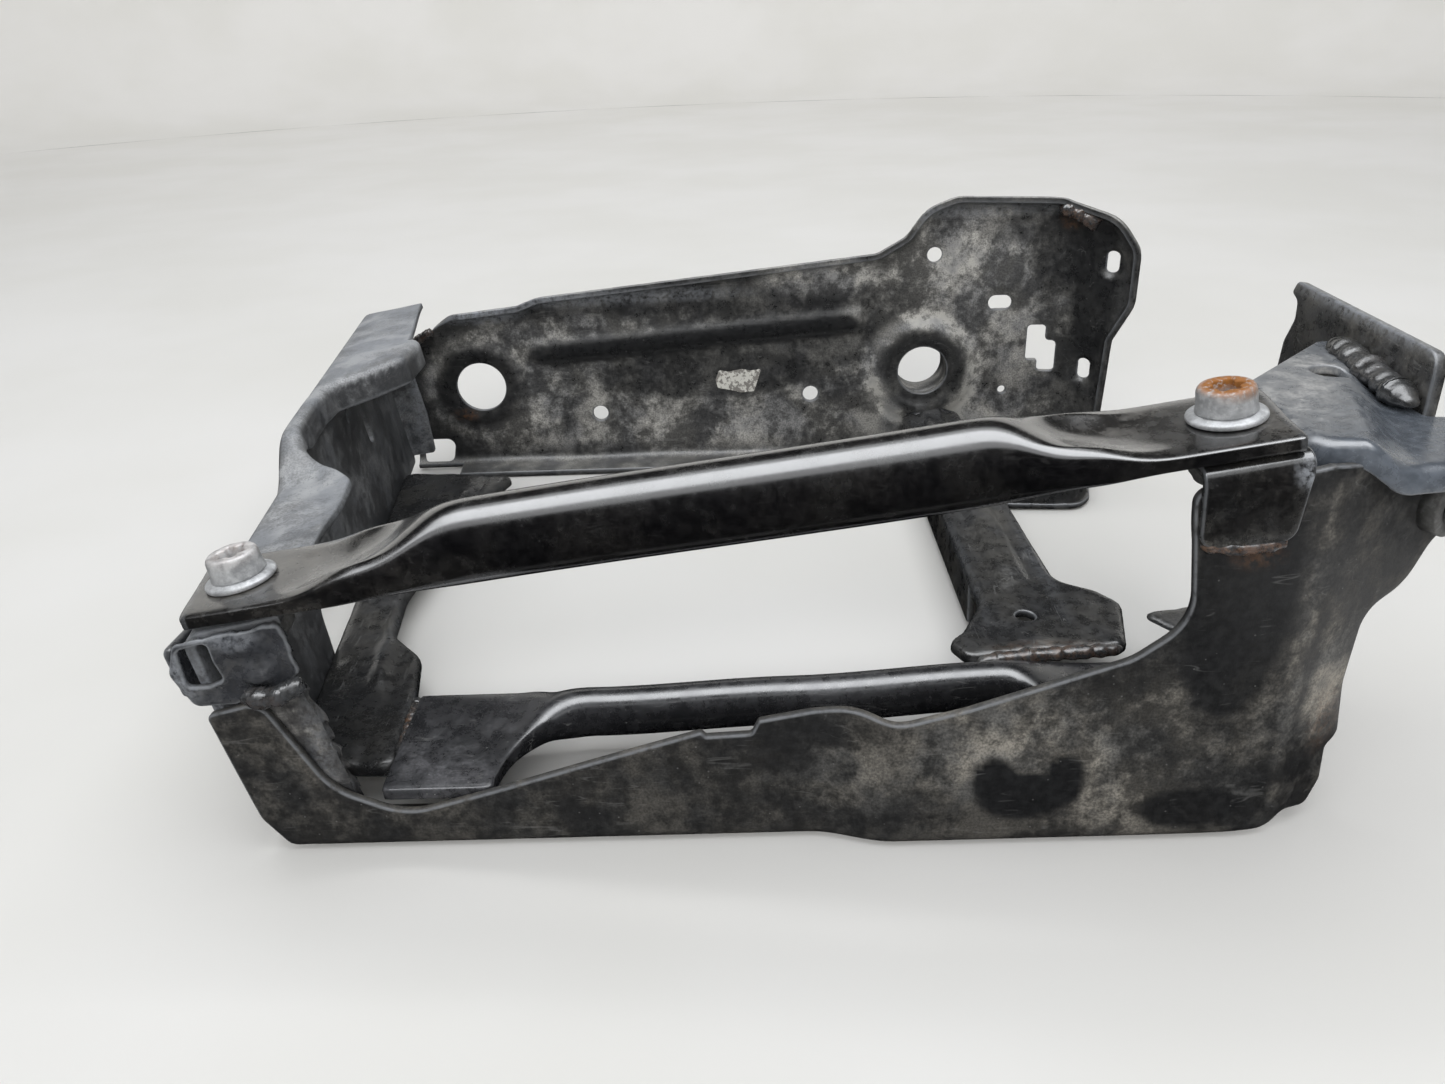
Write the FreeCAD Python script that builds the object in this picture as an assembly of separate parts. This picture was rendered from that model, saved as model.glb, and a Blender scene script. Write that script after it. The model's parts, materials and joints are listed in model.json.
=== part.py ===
"""Welded pressed-steel support frame with a bolt-on tubular brace.

Design axes: X runs along the front side plate, Y to the rear, Z up, from the floor point under
the front plate's lower left corner. Everything is moved at the end so that the origin is the
middle of the footprint on the floor.
"""
import FreeCAD, Part
import math
import os
from FreeCAD import Rotation, Vector

X_AXIS = Vector(1, 0, 0)
Y_AXIS = Vector(0, 1, 0)
Z_AXIS = Vector(0, 0, 1)

# ---- driving dimensions, millimetres ----
SHEET = 3.0                       # pressed sheet thickness
GAP = 0.3                         # air between bodies that come apart
ORIGIN = Vector(142.5, 156.2, 0)  # middle of the footprint in design axes
THROUGH = 30.0                    # length of a cutter that passes right through one sheet

# front side plate
JOGGLE = 5.5                      # step of the right half towards the front
JOGGLE_START = 158.0
JOGGLE_END = 172.0
CREASE_X = 285.0                  # vertical bend of the front leg
LEG_TURN = 30.0                   # degrees the leg turns to the rear beyond the crease
LEG_END_X = 338.0
FRONT_FLANGE = 14.0               # depth of the floor flange behind the plate
FLANGE_RUNS = ((6, 86), (96, 156), (176, 216), (226, 276))

# rear side plate
REAR_Y = 303.0
REAR_LEFT_X = -37.0
REAR_CREASE_X = 300.0
REAR_TURN = 42.0                  # degrees the end panel turns to the front
REAR_END_X = 328.0
REAR_TOP_FLANGE = 7.0
REAR_BOTTOM_FLANGE = 17.0
FOOT_WALL = 14.0                  # upright edge round the corner foot
LEFT_BORE = Vector(2, REAR_Y, 45)
RIGHT_BORE = Vector(232, REAR_Y, 46)
BORE_D = 25.0
LEFT_BOSS_D = 48.0                # dished rings round the bores
LEFT_BOSS_DEPTH = 2.5
BOSS_D = 56.0
BOSS_DEPTH = 4.0
COLLAR_OD = 33.0
COLLAR_LENGTH = 16.0
REAR_HOLES = ((63, 28, 8), (174, 35, 8), (236, 105, 7), (274, 34, 4))   # X, Z, diameter
REAR_BEAD = (112.0, 69.0)         # middle of the pressed bead, X and Z
BEAD_LENGTH = 150.0
BEAD_WIDTH = 14.0
BEAD_RISE = 11.0                  # its right end above its left end
PANEL_SLOTS = (Vector(318, 287, 102), Vector(311, 293, 47))
PANEL_SLOT_SIZE = (8.0, 12.0)

# left end member, in its own leaning axes
MEMBER_FOOT = Vector(-8, 0, 0)
MEMBER_YAW = 6.0                  # degrees, the rear end stands further out
TILT = 9.0                        # degrees, slope of the brace and lean of the member
MEMBER_LOW = 74.2
MEMBER_HIGH = 87.5
MEMBER_START_Y = 4.0
MEMBER_END_Y = 300.0
MEMBER_LIP = 12.0                 # turned-down edge of the raised rear part
MEMBER_TAIL = 17.0                # flange against the rear plate

# brace, in its own axes from the left bolt
BRACE_LEFT = Vector(-7, 21, 79)
BRACE_YAW = -1.7
BRACE_PITCH_LENGTH = 273.0        # between the two bolts
TUBE_OD = 24.0
TUBE_WALL = 2.0
FLAT_WIDTH = 38.0
FLAT_THICK = 4.6
TUBE_RISE = (3.0, 1.0)            # tube axis above the flats, left and right
TIP = 14.0                        # flat beyond each bolt
FLAT_ENDS = (22.0, 24.0)          # where the flats stop, from the left and the right bolt
TUBE_ENDS = (66.0, 60.0)          # where the full tube starts, from the left and the right bolt

# bolts
SHANK_D = 9.9
NUT_BORE = 10.0
CLEAR_HOLE = 11.0
HEAD_D = 15.6
HEAD_H = 6.8
HEAD_EDGE = 1.5                   # height of the head's top chamfer
SOCKET_DEPTH = 5.0
SOCKET_R = 3.2
LOBE_R = 1.1                      # rounded points of the six-lobe socket
LOBE_PITCH_R = 3.1
WASHER_D = 20.2
WASHER_T = 2.0
WASHER_BORE = 10.5
HEAD_AIR = 0.1                    # between the washer and the head that turns on it
SHANK_LENGTH = 24.0
NUT_AF = 17.0
NUT_H = 8.4
LEFT_NUT_DROP = 1.1               # the left nut hangs under the member's flange

# lower members
RAIL_OD = 16.0
CROSS_TOP = 24.0
CROSS_RIDGE = 1.5                 # raised rib along the right cross member
CROSS_WALLS = (222, 249)
LEFT_CROSS_TOP = 15.0
LEFT_CROSS_RIDGE = 2.0
RAIL_STATIONS = ((27, 28.2, 17.0), (84, 46, 17.0), (212, 53, 17.0), (242, 28.8, 18.5))
PADDLE = (50, 5, 5)               # width, height and boxiness of the flattened left end
SHOE = (62, 5, 5)

# front leg
LEG_TOP = 120.0
LEG_LOW_TOP = 114.0
LEG_STEP_TURN = 20.0              # degrees, the step crosses the top plate at a slant
LEG_GUSSET_Z = 17.0
LEG_WEB_LOW = 24.0
LEG_WEB_HOLE_D = 34.0
BOLT_HOLE_D = 11.0
COLLAR_X = 326.0
COLLAR_Z = 96.0
COLLAR_SMALL_OD = 18.0
COLLAR_HEIGHT = 5.0
COLLAR_BORE = 10.5
FLANGE_X = 328.0
FLANGE_T = 4.0
FLANGE_TOP = 131.0
WELD_MIN_VOLUME = 1.0             # crumbs of weld below this are dropped


# ---- helpers ----
def rounded_wire(points, place):
    """Closed wire through (u, v, radius) corners; place turns (u, v) into a 3-D point."""
    count = len(points)
    arcs = []
    for i in range(count):
        u, v, radius = points[i]
        corner = Vector(u, v, 0)
        before = Vector(*points[i - 1][:2], 0) - corner
        after = Vector(*points[(i + 1) % count][:2], 0) - corner
        half = before.getAngle(after) / 2.0
        if radius <= 0 or half > math.radians(88):
            arcs.append((corner, None, corner))
            continue
        reach = min(radius / math.tan(half), 0.48 * before.Length, 0.48 * after.Length)
        radius = reach * math.tan(half)
        bisector = before.normalize() + after.normalize()
        centre = corner + bisector.normalize() * (radius / math.sin(half))
        middle = corner + (centre - corner).normalize() * ((centre - corner).Length - radius)
        arcs.append((corner + before * reach, middle, corner + after * reach))
    edges = []
    for i in range(count):
        start, middle, end = arcs[i]
        if middle is not None:
            edges.append(Part.Arc(place(start), place(middle), place(end)).toShape())
        following = arcs[(i + 1) % count][0]
        if (following - end).Length > 1e-6:
            edges.append(Part.LineSegment(place(end), place(following)).toShape())
    return Part.Wire(edges)


def plate_xy(points, z, thick):
    """Flat plate with its lower face at z."""
    wire = rounded_wire(points, lambda p: Vector(p.x, p.y, z))
    return Part.Face(wire).extrude(Vector(0, 0, thick))


def slab_xz(points, y0, y1):
    """Prism of an X-Z outline from y0 to y1."""
    wire = rounded_wire(points, lambda p: Vector(p.x, y0, p.y))
    return Part.Face(wire).extrude(Vector(0, y1 - y0, 0))


def slab_yz(points, x0, x1):
    """Prism of a Y-Z outline from x0 to x1."""
    wire = rounded_wire(points, lambda p: Vector(x0, p.x, p.y))
    return Part.Face(wire).extrude(Vector(x1 - x0, 0, 0))


def box(x0, x1, y0, y1, z0, z1):
    return Part.makeBox(x1 - x0, y1 - y0, z1 - z0, Vector(x0, y0, z0))


def rod(centre, diameter, length, axis=Z_AXIS):
    """Cylinder with its middle at centre."""
    axis = Vector(axis).normalize()
    return Part.makeCylinder(diameter / 2.0, length, centre - axis * (length / 2.0), axis)


def slot(centre, width, length, depth, axis, along):
    """Round-ended slot cutter."""
    step = Vector(along).normalize() * ((length - width) / 2.0)
    side = Vector(axis).cross(Vector(along)).normalize()
    ends = rod(centre + step, width, depth, axis).fuse(rod(centre - step, width, depth, axis))
    bar = Part.makeBox(length - width, width, depth)
    frame = FreeCAD.Placement(centre, Rotation(Vector(along), side, Vector(axis), "ZXY"))
    bar.translate(Vector(-(length - width) / 2.0, -width / 2.0, -depth / 2.0))
    bar.Placement = frame.multiply(bar.Placement)
    return ends.fuse(bar)


def wall_along(path, thick, height):
    """Upright sheet: its front face follows the plan path, its thickness lies to the left."""
    left = []
    for i, point in enumerate(path):
        directions = []
        if i > 0:
            directions.append((path[i] - path[i - 1]).normalize())
        if i < len(path) - 1:
            directions.append((path[i + 1] - path[i]).normalize())
        normals = [Vector(-d.y, d.x, 0) for d in directions]
        mean = normals[0] + normals[-1]
        mean.normalize()
        left.append(point + mean * (thick / mean.dot(normals[0])))
    ring = path + left[::-1] + [path[0]]
    return Part.Face(Part.makePolygon(ring)).extrude(Vector(0, 0, height))


def clean(shape):
    """One tidy solid out of a boolean result."""
    return shape.removeSplitter()


def member_axes(shape):
    """From the left member's own axes to the design axes."""
    shape.rotate(Vector(0, 0, 0), Y_AXIS, -TILT)
    shape.rotate(Vector(0, 0, 0), Z_AXIS, MEMBER_YAW)
    shape.translate(MEMBER_FOOT)
    return shape


def brace_axes(shape):
    """From the brace's own axes to the design axes."""
    shape.rotate(Vector(0, 0, 0), Y_AXIS, -TILT)
    shape.rotate(Vector(0, 0, 0), Z_AXIS, BRACE_YAW)
    shape.translate(BRACE_LEFT)
    return shape


def bolt_stations():
    """The two bolt places along the brace."""
    return {"left": 0.0, "right": BRACE_PITCH_LENGTH}


# ---- pressed side plates ----
def front_path():
    run = LEG_END_X - CREASE_X
    return [Vector(-24, 0, 0),
            Vector(JOGGLE_START, 0, 0),
            Vector(JOGGLE_END, -JOGGLE, 0),
            Vector(CREASE_X, -JOGGLE, 0),
            Vector(LEG_END_X, -JOGGLE + run * math.tan(math.radians(LEG_TURN)), 0)]


def collar_seat():
    """Middle of the spacer collar's foot on the turned leg, and the outward normal there."""
    turn = math.radians(LEG_TURN)
    face = Vector(COLLAR_X, -JOGGLE + (COLLAR_X - CREASE_X) * math.tan(turn), COLLAR_Z)
    return face, Vector(math.sin(turn), -math.cos(turn), 0)


def front_side_plate():
    outline = [(0, 0, 3), (278, 0, 10), (292, 6, 4), (301, 4, 3), (305, 12, 5), (304, 24, 2),
               (308, 27, 4), (305, 46, 20), (307, 68, 8), (321, 72, 14), (329, 84, 10),
               (LEG_END_X, 86, 2), (LEG_END_X, 106, 2), (CREASE_X, 112, 0), (249, 112, 4),
               (254, 74, 20), (240, 63, 16), (197, 48, 20), (178, 42, 14), (166, 47, 16),
               (140, 42, 4), (136, 37, 4), (124, 37, 3), (62, 20, 60), (34, 12, 20),
               (14, 22, 20), (-1, 53, 6), (-17, 49, 2), (-9, 12, 10)]
    plate = wall_along(front_path(), SHEET, 130).common(slab_xz(outline, -20, 60))
    for x0, x1 in FLANGE_RUNS:
        y0 = SHEET if x1 < JOGGLE_START else SHEET - JOGGLE
        plate = plate.fuse(box(x0, x1, y0, y0 + FRONT_FLANGE, 0, SHEET))
    face, normal = collar_seat()
    plate = plate.cut(rod(face, COLLAR_BORE, THROUGH, normal))
    return clean(plate)


def rear_outline():
    return [(REAR_LEFT_X, 0, 3), (REAR_LEFT_X, 66, 3), (-26, 70, 6), (-13, 81, 6), (27, 85, 8),
            (37, 89, 8), (208, 105, 16), (222, 113, 10), (232, 126, 12), (245, 131, 8),
            (296, 129, 8), (320, 122, 8), (REAR_END_X, 110, 6), (REAR_END_X, 84, 8),
            (321, 66, 8), (319, 0, 2)]


def rear_path():
    run = REAR_END_X + 4 - REAR_CREASE_X
    return [Vector(REAR_LEFT_X - 4, REAR_Y, 0),
            Vector(REAR_CREASE_X, REAR_Y, 0),
            Vector(REAR_END_X + 4, REAR_Y - run * math.tan(math.radians(REAR_TURN)), 0)]


def rim(outline, shift, y0, y1):
    """Strip of a flange: the outline's prism without the same prism moved by shift."""
    whole = slab_xz(outline, y0, y1)
    inner = slab_xz(outline, y0 - 1, y1 + 1)
    inner.translate(Vector(0, 0, shift))
    return whole.cut(inner)


def boss(centre, diameter, depth):
    """Shallow dished ring that stands out of the front of the rear plate."""
    return Part.makeCone(diameter / 2.0, diameter / 2.0 - depth, depth, centre, -Y_AXIS)


def rear_side_plate():
    outline = rear_outline()
    plate = wall_along(rear_path(), SHEET, 140).common(slab_xz(outline, 240, 330))
    top = rim(outline, -SHEET, REAR_Y - REAR_TOP_FLANGE, REAR_Y)
    plate = plate.fuse(top.common(box(-28, 296, 280, 310, 60, 140)))
    plate = plate.fuse(box(-12, 246, REAR_Y - REAR_BOTTOM_FLANGE, REAR_Y, 0, SHEET))
    plate = plate.fuse(boss(LEFT_BORE, LEFT_BOSS_D, LEFT_BOSS_DEPTH))
    plate = plate.fuse(boss(RIGHT_BORE, BOSS_D, BOSS_DEPTH))
    middle = Vector(REAR_BEAD[0], REAR_Y - 1.0, REAR_BEAD[1])
    along = Vector(BEAD_LENGTH, 0, BEAD_RISE)
    plate = plate.fuse(slot(middle, BEAD_WIDTH, BEAD_LENGTH, SHEET, Y_AXIS, along))
    for bore in (LEFT_BORE, RIGHT_BORE):
        plate = plate.cut(rod(bore, BORE_D, THROUGH, Y_AXIS))
    for x, z, diameter in REAR_HOLES:
        plate = plate.cut(rod(Vector(x, REAR_Y, z), diameter, THROUGH, Y_AXIS))
    plate = plate.cut(slot(Vector(270, REAR_Y, 80), 7, 11, THROUGH, Y_AXIS, X_AXIS))
    window = [(-36, -1, 0), (-18, -1, 0), (-16, 16, 4), (-36, 17, 4)]
    plate = plate.cut(slab_xz(window, 280, 330))
    step = [(285, 50, 1), (291, 50, 1), (291, 44, 2), (299, 44, 2), (299, 60, 2), (294, 60, 2),
            (294, 68, 2), (285, 68, 2)]
    plate = plate.cut(slab_xz(step, 290, 320))
    turn = math.radians(REAR_TURN)
    turned = Vector(math.sin(turn), math.cos(turn), 0)
    for place in PANEL_SLOTS:
        plate = plate.cut(slot(place, *PANEL_SLOT_SIZE, 16, turned, Z_AXIS))
    return clean(plate)


def rear_corner_foot():
    plan = [(253, REAR_Y, 0), (253, 238, 8), (262, 226, 10), (296, 223, 10), (303, 232, 10),
            (316, 283, 4), (300, REAR_Y - 1, 1)]
    foot = plate_xy(plan, 0, SHEET)
    path = [Vector(253, 238, 0), Vector(262, 227, 0), Vector(296, 224, 0), Vector(302, 232, 0),
            Vector(314, 281, 0)]
    side = wall_along(path, SHEET, FOOT_WALL)
    return clean(foot.fuse(side.common(plate_xy(plan, 0, FOOT_WALL))))


def rear_bore_collar():
    start = Vector(RIGHT_BORE.x, REAR_Y + SHEET, RIGHT_BORE.z)
    tube = Part.makeCylinder(COLLAR_OD / 2.0, COLLAR_LENGTH, start, Y_AXIS)
    return tube.cut(rod(RIGHT_BORE, BORE_D, 2 * THROUGH, Y_AXIS))


# ---- left end ----
def left_end_member():
    start = MEMBER_START_Y
    end = MEMBER_END_Y
    top = MEMBER_LOW
    high = MEMBER_HIGH
    web = [(start, 6, 4), (94, 6, 6), (99, 33, 10), (146, 27, 16), (172, 17, 8), (179, 6, 4), (end, 6, 4),
           (end, high, 3), (128, high, 6), (112, top, 8), (start, top, 3)]
    member = slab_yz(web, 0, SHEET)
    low_flange = [(0, start, 0), (28, start, 3), (28, 60, 10), (29, 100, 14), (23, 116, 12),
                  (10, 125, 8), (0, 128, 0)]
    member = member.fuse(plate_xy(low_flange, top - SHEET, SHEET))
    high_flange = [(0, 136, 0), (5, 150, 8), (7, 170, 8), (11, 182, 5), (34, 195, 10),
                   (39, 212, 8), (40, 232, 6), (36, end - SHEET, 3), (0, end - SHEET, 0)]
    member = member.fuse(plate_xy(high_flange, high - SHEET, SHEET))
    lip_path = [Vector(3, 138, 0), Vector(5, 156, 0), Vector(7, 174, 0), Vector(12, 185, 0),
                Vector(31, 197, 0), Vector(37, 211, 0), Vector(38, 228, 0)]
    lip = wall_along(lip_path, SHEET, MEMBER_LIP)
    lip.translate(Vector(0, 0, high - MEMBER_LIP))
    member = member.fuse(lip)
    member = member.fuse(box(0, MEMBER_TAIL, end - SHEET, end, 8, high))
    middle = SHEET / 2.0
    member = member.cut(slot(Vector(middle, 212, 66), 3, 10, 12, X_AXIS, Vector(0, 0.5, 1)))
    member = member.cut(slot(Vector(middle, 234, 49), 6, 12, 12, X_AXIS, Z_AXIS))
    member = member_axes(member)
    bolt_hole = brace_axes(rod(Vector(0, 0, 0), CLEAR_HOLE, 40))
    return clean(member.cut(bolt_hole))


def left_seat_bracket():
    top = MEMBER_LOW
    outline = [(0, 53, 3), (12, 52, 2), (25, 54, 3), (28, 56, 2), (28, top - 2, 2), (0, top, 4),
               (-3, 62, 4)]
    bracket = slab_xz(outline, MEMBER_START_Y - SHEET, MEMBER_START_Y)
    window = [(1.5, 59, 1.5), (9.5, 59, 1.5), (9, top - 3.5, 1.5), (2, top - 3.5, 1.5)]
    return member_axes(clean(bracket.cut(slab_xz(window, -5, 10))))


def left_corner_gusset():
    """Narrow strip from the seat bracket down to the foot of the front plate."""
    strip = [(-8, 51, 1), (4, 52.5, 1), (12, 30, 8), (17, 10, 1), (10, 10, 1), (4, 28, 8)]
    return slab_xz(strip, SHEET, 2 * SHEET)


def left_cross_member():
    plan = [(-8.3, 22, 2), (26, 20, 4), (23, 58, 10), (18, 86, 12), (4, 102, 12), (1, 131, 20),
            (7, 200, 30), (24, 254, 4), (-33, 262, 2), (-28, 214, 14), (-22.3, 155, 20),
            (-18.2, 118, 20), (-16.5, 100, 20), (-12.5, 62, 20)]
    top = plate_xy(plan, LEFT_CROSS_TOP - SHEET, SHEET)
    ridge = [(6, 70, 3), (10, 70, 3), (0, 150, 10), (6, 236, 3), (1, 236, 3), (-5, 150, 10)]
    rise = plate_xy(ridge, LEFT_CROSS_TOP, LEFT_CROSS_RIDGE)
    right_path = [Vector(-1, 118, 0), Vector(-2, 134, 0), Vector(3, 196, 0)]
    skirt = wall_along(right_path, SHEET, LEFT_CROSS_TOP - SHEET - 2)
    skirt.translate(Vector(0, 0, SHEET))
    return clean(top.fuse(rise).fuse(skirt))


# ---- lower members ----
def section(x, y, z, width, height, power):
    """Closed smooth ring across X: round with power 2, boxy with a high power."""
    points = []
    steps = 24
    for i in range(steps):
        angle = 2 * math.pi * (i + 0.5) / steps
        c = math.cos(angle)
        s = math.sin(angle)
        u = math.copysign(abs(c) ** (2.0 / power), c) * width / 2.0
        v = math.copysign(abs(s) ** (2.0 / power), s) * height / 2.0
        points.append(Vector(x, y + u, z + v))
    ring = Part.BSplineCurve()
    ring.interpolate(points, PeriodicFlag=True)
    return Part.Wire([ring.toShape()])


def blend(stations, count):
    """Stations (x, y, z, width, height, power) with eased steps put in between neighbours."""
    eased = [stations[0]]
    for first, last in zip(stations, stations[1:]):
        if first[3:] != last[3:]:
            for i in range(1, count):
                t = i / count
                ease = t * t * (3 - 2 * t)
                along = [first[0] + (last[0] - first[0]) * t]
                eased.append(along + [a + (b - a) * ease for a, b in zip(first[1:], last[1:])])
        eased.append(last)
    return eased


def skin(stations, count=6):
    """Solid through the rings of the eased stations."""
    return Part.makeLoft([section(*station) for station in blend(stations, count)], True, True)


def lower_rail():
    tube = (RAIL_OD, RAIL_OD, 2)
    left, rise, fall, right = RAIL_STATIONS
    return skin([(*left, *PADDLE), (left[0] + 27, *left[1:], *PADDLE), (*rise, *tube),
                 (*fall, *tube), (*right, *SHOE), (right[0] + 22, *right[1:], *SHOE)])


def right_cross_member():
    end = REAR_Y - BOSS_DEPTH - 0.1
    left, right = CROSS_WALLS
    outer = right + SHEET
    plan = [(206, 72, 2), (211, 61, 3), (266, 66, 3), (273, 94, 3), (267, 104, 4),
            (outer + 2, 112, 14), (outer, 180, 30), (outer, end, 0), (left, end, 0),
            (left, 180, 30), (left, 98, 14), (212, 78, 8)]
    top = plate_xy(plan, CROSS_TOP - SHEET, SHEET)
    for x0 in CROSS_WALLS:
        top = top.fuse(box(x0, x0 + SHEET, 116, end, SHEET, CROSS_TOP))
    ridge = box(233, 241, 120, 276, CROSS_TOP, CROSS_TOP + CROSS_RIDGE)
    hole = rod(Vector(236, 86, CROSS_TOP), 7, THROUGH)
    return clean(top.fuse(ridge).cut(hole))


# ---- front leg ----
def leg_top_plate():
    plan = [(263, 31, 3), (280, 31, 2), (280, 4, 2), (297, -4, 6), (LEG_END_X, 4, 4),
            (LEG_END_X, 33, 4), (FLANGE_X, 36, 2), (FLANGE_X, 90, 2), (322, 90, 4)]
    drop = LEG_TOP - LEG_LOW_TOP
    reach = 80
    profile = [(-reach, 0, 0), (0, 0, 12), (14, -drop, 12), (reach, -drop, 0),
               (reach, -drop - SHEET, 0), (14, -drop - SHEET, 9), (0, -SHEET, 15),
               (-reach, -SHEET, 0)]
    sheet = slab_xz(profile, -reach - 10, reach + 10)
    sheet.rotate(Vector(0, 0, 0), Z_AXIS, -LEG_STEP_TURN)
    sheet.translate(Vector(301, 25, LEG_TOP))
    cap = sheet.common(plate_xy(plan, LEG_TOP - THROUGH, 2 * THROUGH))
    return clean(cap.cut(rod(Vector(312, 60, LEG_TOP), BOLT_HOLE_D, THROUGH)))


def leg_mounting_flange():
    outline = [(37, 88, 6), (114, 84, 14), (125, 98, 6), (125, FLANGE_TOP - 5, 3),
               (121, FLANGE_TOP, 2), (37, FLANGE_TOP, 8)]
    flange = slab_yz(outline, FLANGE_X + 0.05, FLANGE_X + FLANGE_T)
    flange = flange.cut(rod(Vector(FLANGE_X, 104, 106), BOLT_HOLE_D, THROUGH, X_AXIS))
    oblong = slot(Vector(FLANGE_X, 56, 99), BOLT_HOLE_D, 16, THROUGH, X_AXIS, Y_AXIS)
    flange = flange.cut(oblong)
    return clean(flange)


def leg_rear_web():
    path = [Vector(277, 40, 0), Vector(320, 82, 0)]
    web = wall_along(path, SHEET, LEG_TOP - SHEET - LEG_WEB_LOW)
    web.translate(Vector(0, 0, LEG_WEB_LOW))
    cut = rod(Vector(298, 62, 66), LEG_WEB_HOLE_D, THROUGH, Y_AXIS - X_AXIS)
    return clean(web.cut(cut))


def leg_base_gusset():
    plan = [(286, 1, 2), (298, 7, 2), (306, 40, 20), (318, 88, 6), (300, 97, 4), (279, 93, 2),
            (290, 76, 8), (280, 40, 14)]
    return plate_xy(plan, LEG_GUSSET_Z, SHEET)


def leg_spacer_collar():
    face, normal = collar_seat()
    collar = Part.makeCylinder(COLLAR_SMALL_OD / 2.0, COLLAR_HEIGHT, face, normal)
    return collar.cut(rod(face, COLLAR_BORE, THROUGH, normal))


# ---- brace seats, brace and bolts ----
def right_seat_bracket():
    station = bolt_stations()["right"]
    under = -FLAT_THICK / 2.0 - GAP
    low = station - 12
    high = station + 15
    plan = [(low, -22, 2), (high, -22, 2), (high, 16, 4), (low, 16, 4)]
    seat = plate_xy(plan, under - SHEET, SHEET)
    seat = brace_axes(seat.cut(rod(Vector(station, 0, 0), CLEAR_HOLE, 40)))
    front = -JOGGLE - SHEET
    skirt = [(250, 98, 4), (277, 98, 3), (277, 119.5, 0), (249, 115.5, 0)]
    return clean(seat.fuse(slab_xz(skirt, front, front + SHEET)))


def nut(station, face):
    """Hexagon weld nut under a seat whose lower face is at the given height."""
    corner = NUT_AF / math.sqrt(3)
    ring = []
    for i in range(7):
        angle = math.radians(60 * i)
        ring.append(Vector(station + corner * math.cos(angle), corner * math.sin(angle), face))
    solid = Part.Face(Part.makePolygon(ring)).extrude(Vector(0, 0, -NUT_H))
    return brace_axes(solid.cut(rod(Vector(station, 0, face), NUT_BORE, 60)))


def seat_faces():
    """Lower faces of the two seats in the brace's axes."""
    low = -FLAT_THICK / 2.0 - GAP - SHEET
    return {"left": low - LEFT_NUT_DROP, "right": low}


def upper_brace():
    length = BRACE_PITCH_LENGTH
    flat = (FLAT_WIDTH, FLAT_THICK, 6)
    tube = (TUBE_OD, TUBE_OD, 2)
    left_rise, right_rise = TUBE_RISE
    tube_start = TUBE_ENDS[0]
    tube_end = length - TUBE_ENDS[1]
    body = skin([(-TIP - 4, 0, 0, *flat), (FLAT_ENDS[0], 0, 0, *flat),
                 (tube_start, 0, left_rise, *tube), (tube_end, 0, right_rise, *tube),
                 (length - FLAT_ENDS[1], 0, 0, *flat), (length + TIP, 0, 0, *flat)], 8)
    slit = (20, 1.5, 2)
    bore = (TUBE_OD - 2 * TUBE_WALL, TUBE_OD - 2 * TUBE_WALL, 2)
    void = skin([(tube_start - 20, 0, 0.5 * left_rise, *slit),
                 (tube_start + 4, 0, left_rise, *bore), (tube_end - 4, 0, right_rise, *bore),
                 (tube_end + 14, 0, 0, *slit)])
    body = body.cut(void)
    skew_end = [(-30, -30, 0), (-8, -30, 0), (-10, -19, 4), (-TIP - 3, 19, 4),
                (-TIP - 4, 30, 0), (-30, 30, 0)]
    body = body.cut(plate_xy(skew_end, -10, 20))
    for station in bolt_stations().values():
        body = body.cut(rod(Vector(station, 0, 0), CLEAR_HOLE, THROUGH))
    return brace_axes(body)


def washer(station):
    base = FLAT_THICK / 2.0 + GAP
    half = WASHER_T / 2.0
    disc = Part.makeCylinder(WASHER_D / 2.0, half, Vector(station, 0, base))
    top_r = HEAD_D / 2.0 + 0.8
    crown = Part.makeCone(WASHER_D / 2.0, top_r, half, Vector(station, 0, base + half))
    ring = disc.fuse(crown).cut(rod(Vector(station, 0, base), WASHER_BORE, THROUGH))
    return brace_axes(clean(ring))


def bolt(station):
    seat = FLAT_THICK / 2.0 + GAP + WASHER_T + HEAD_AIR
    radius = HEAD_D / 2.0
    top = seat + HEAD_H
    edge = top - HEAD_EDGE
    head = Part.makeCylinder(radius, HEAD_H - HEAD_EDGE, Vector(station, 0, seat))
    crown = Part.makeCone(radius, radius - HEAD_EDGE, HEAD_EDGE, Vector(station, 0, edge))
    low = Vector(station, 0, seat - SHANK_LENGTH)
    screw = head.fuse(crown).fuse(Part.makeCylinder(SHANK_D / 2.0, SHANK_LENGTH, low))
    floor = top - SOCKET_DEPTH
    socket = Part.makeCylinder(SOCKET_R, SOCKET_DEPTH, Vector(station, 0, floor))
    for i in range(6):
        angle = math.radians(60 * i)
        x = station + LOBE_PITCH_R * math.cos(angle)
        lobe = Vector(x, LOBE_PITCH_R * math.sin(angle), floor)
        socket = socket.fuse(Part.makeCylinder(LOBE_R, SOCKET_DEPTH, lobe))
    return brace_axes(clean(screw.cut(socket)))


# ---- weld beads ----
def bead(start, end, radius):
    """Round-ended weld run between two points."""
    axis = end - start
    run = Part.makeCylinder(radius, axis.Length, start, axis)
    return clean(run.fuse(Part.makeSphere(radius, start)).fuse(Part.makeSphere(radius, end)))


def left_seat_welds():
    return [bead(Vector(-14, -1.0, 50), Vector(2, -1.0, 54), 3.0),
            bead(Vector(15, 2, 58), Vector(12, 2, 72), 2.0)]


def right_seat_welds():
    front = -JOGGLE - 1.5
    return [bead(Vector(252, front, 96.5), Vector(274, front, 96.5), 2.6)]


def leg_top_welds():
    return [bead(Vector(325, 42, 118), Vector(325, 84, 121), 4.0)]


def cross_member_welds():
    return [bead(Vector(213, 60.5, 22), Vector(264, 65, 22), 3.0),
            bead(Vector(26.5, 24, 16), Vector(25, 56, 16), 2.0)]


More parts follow.
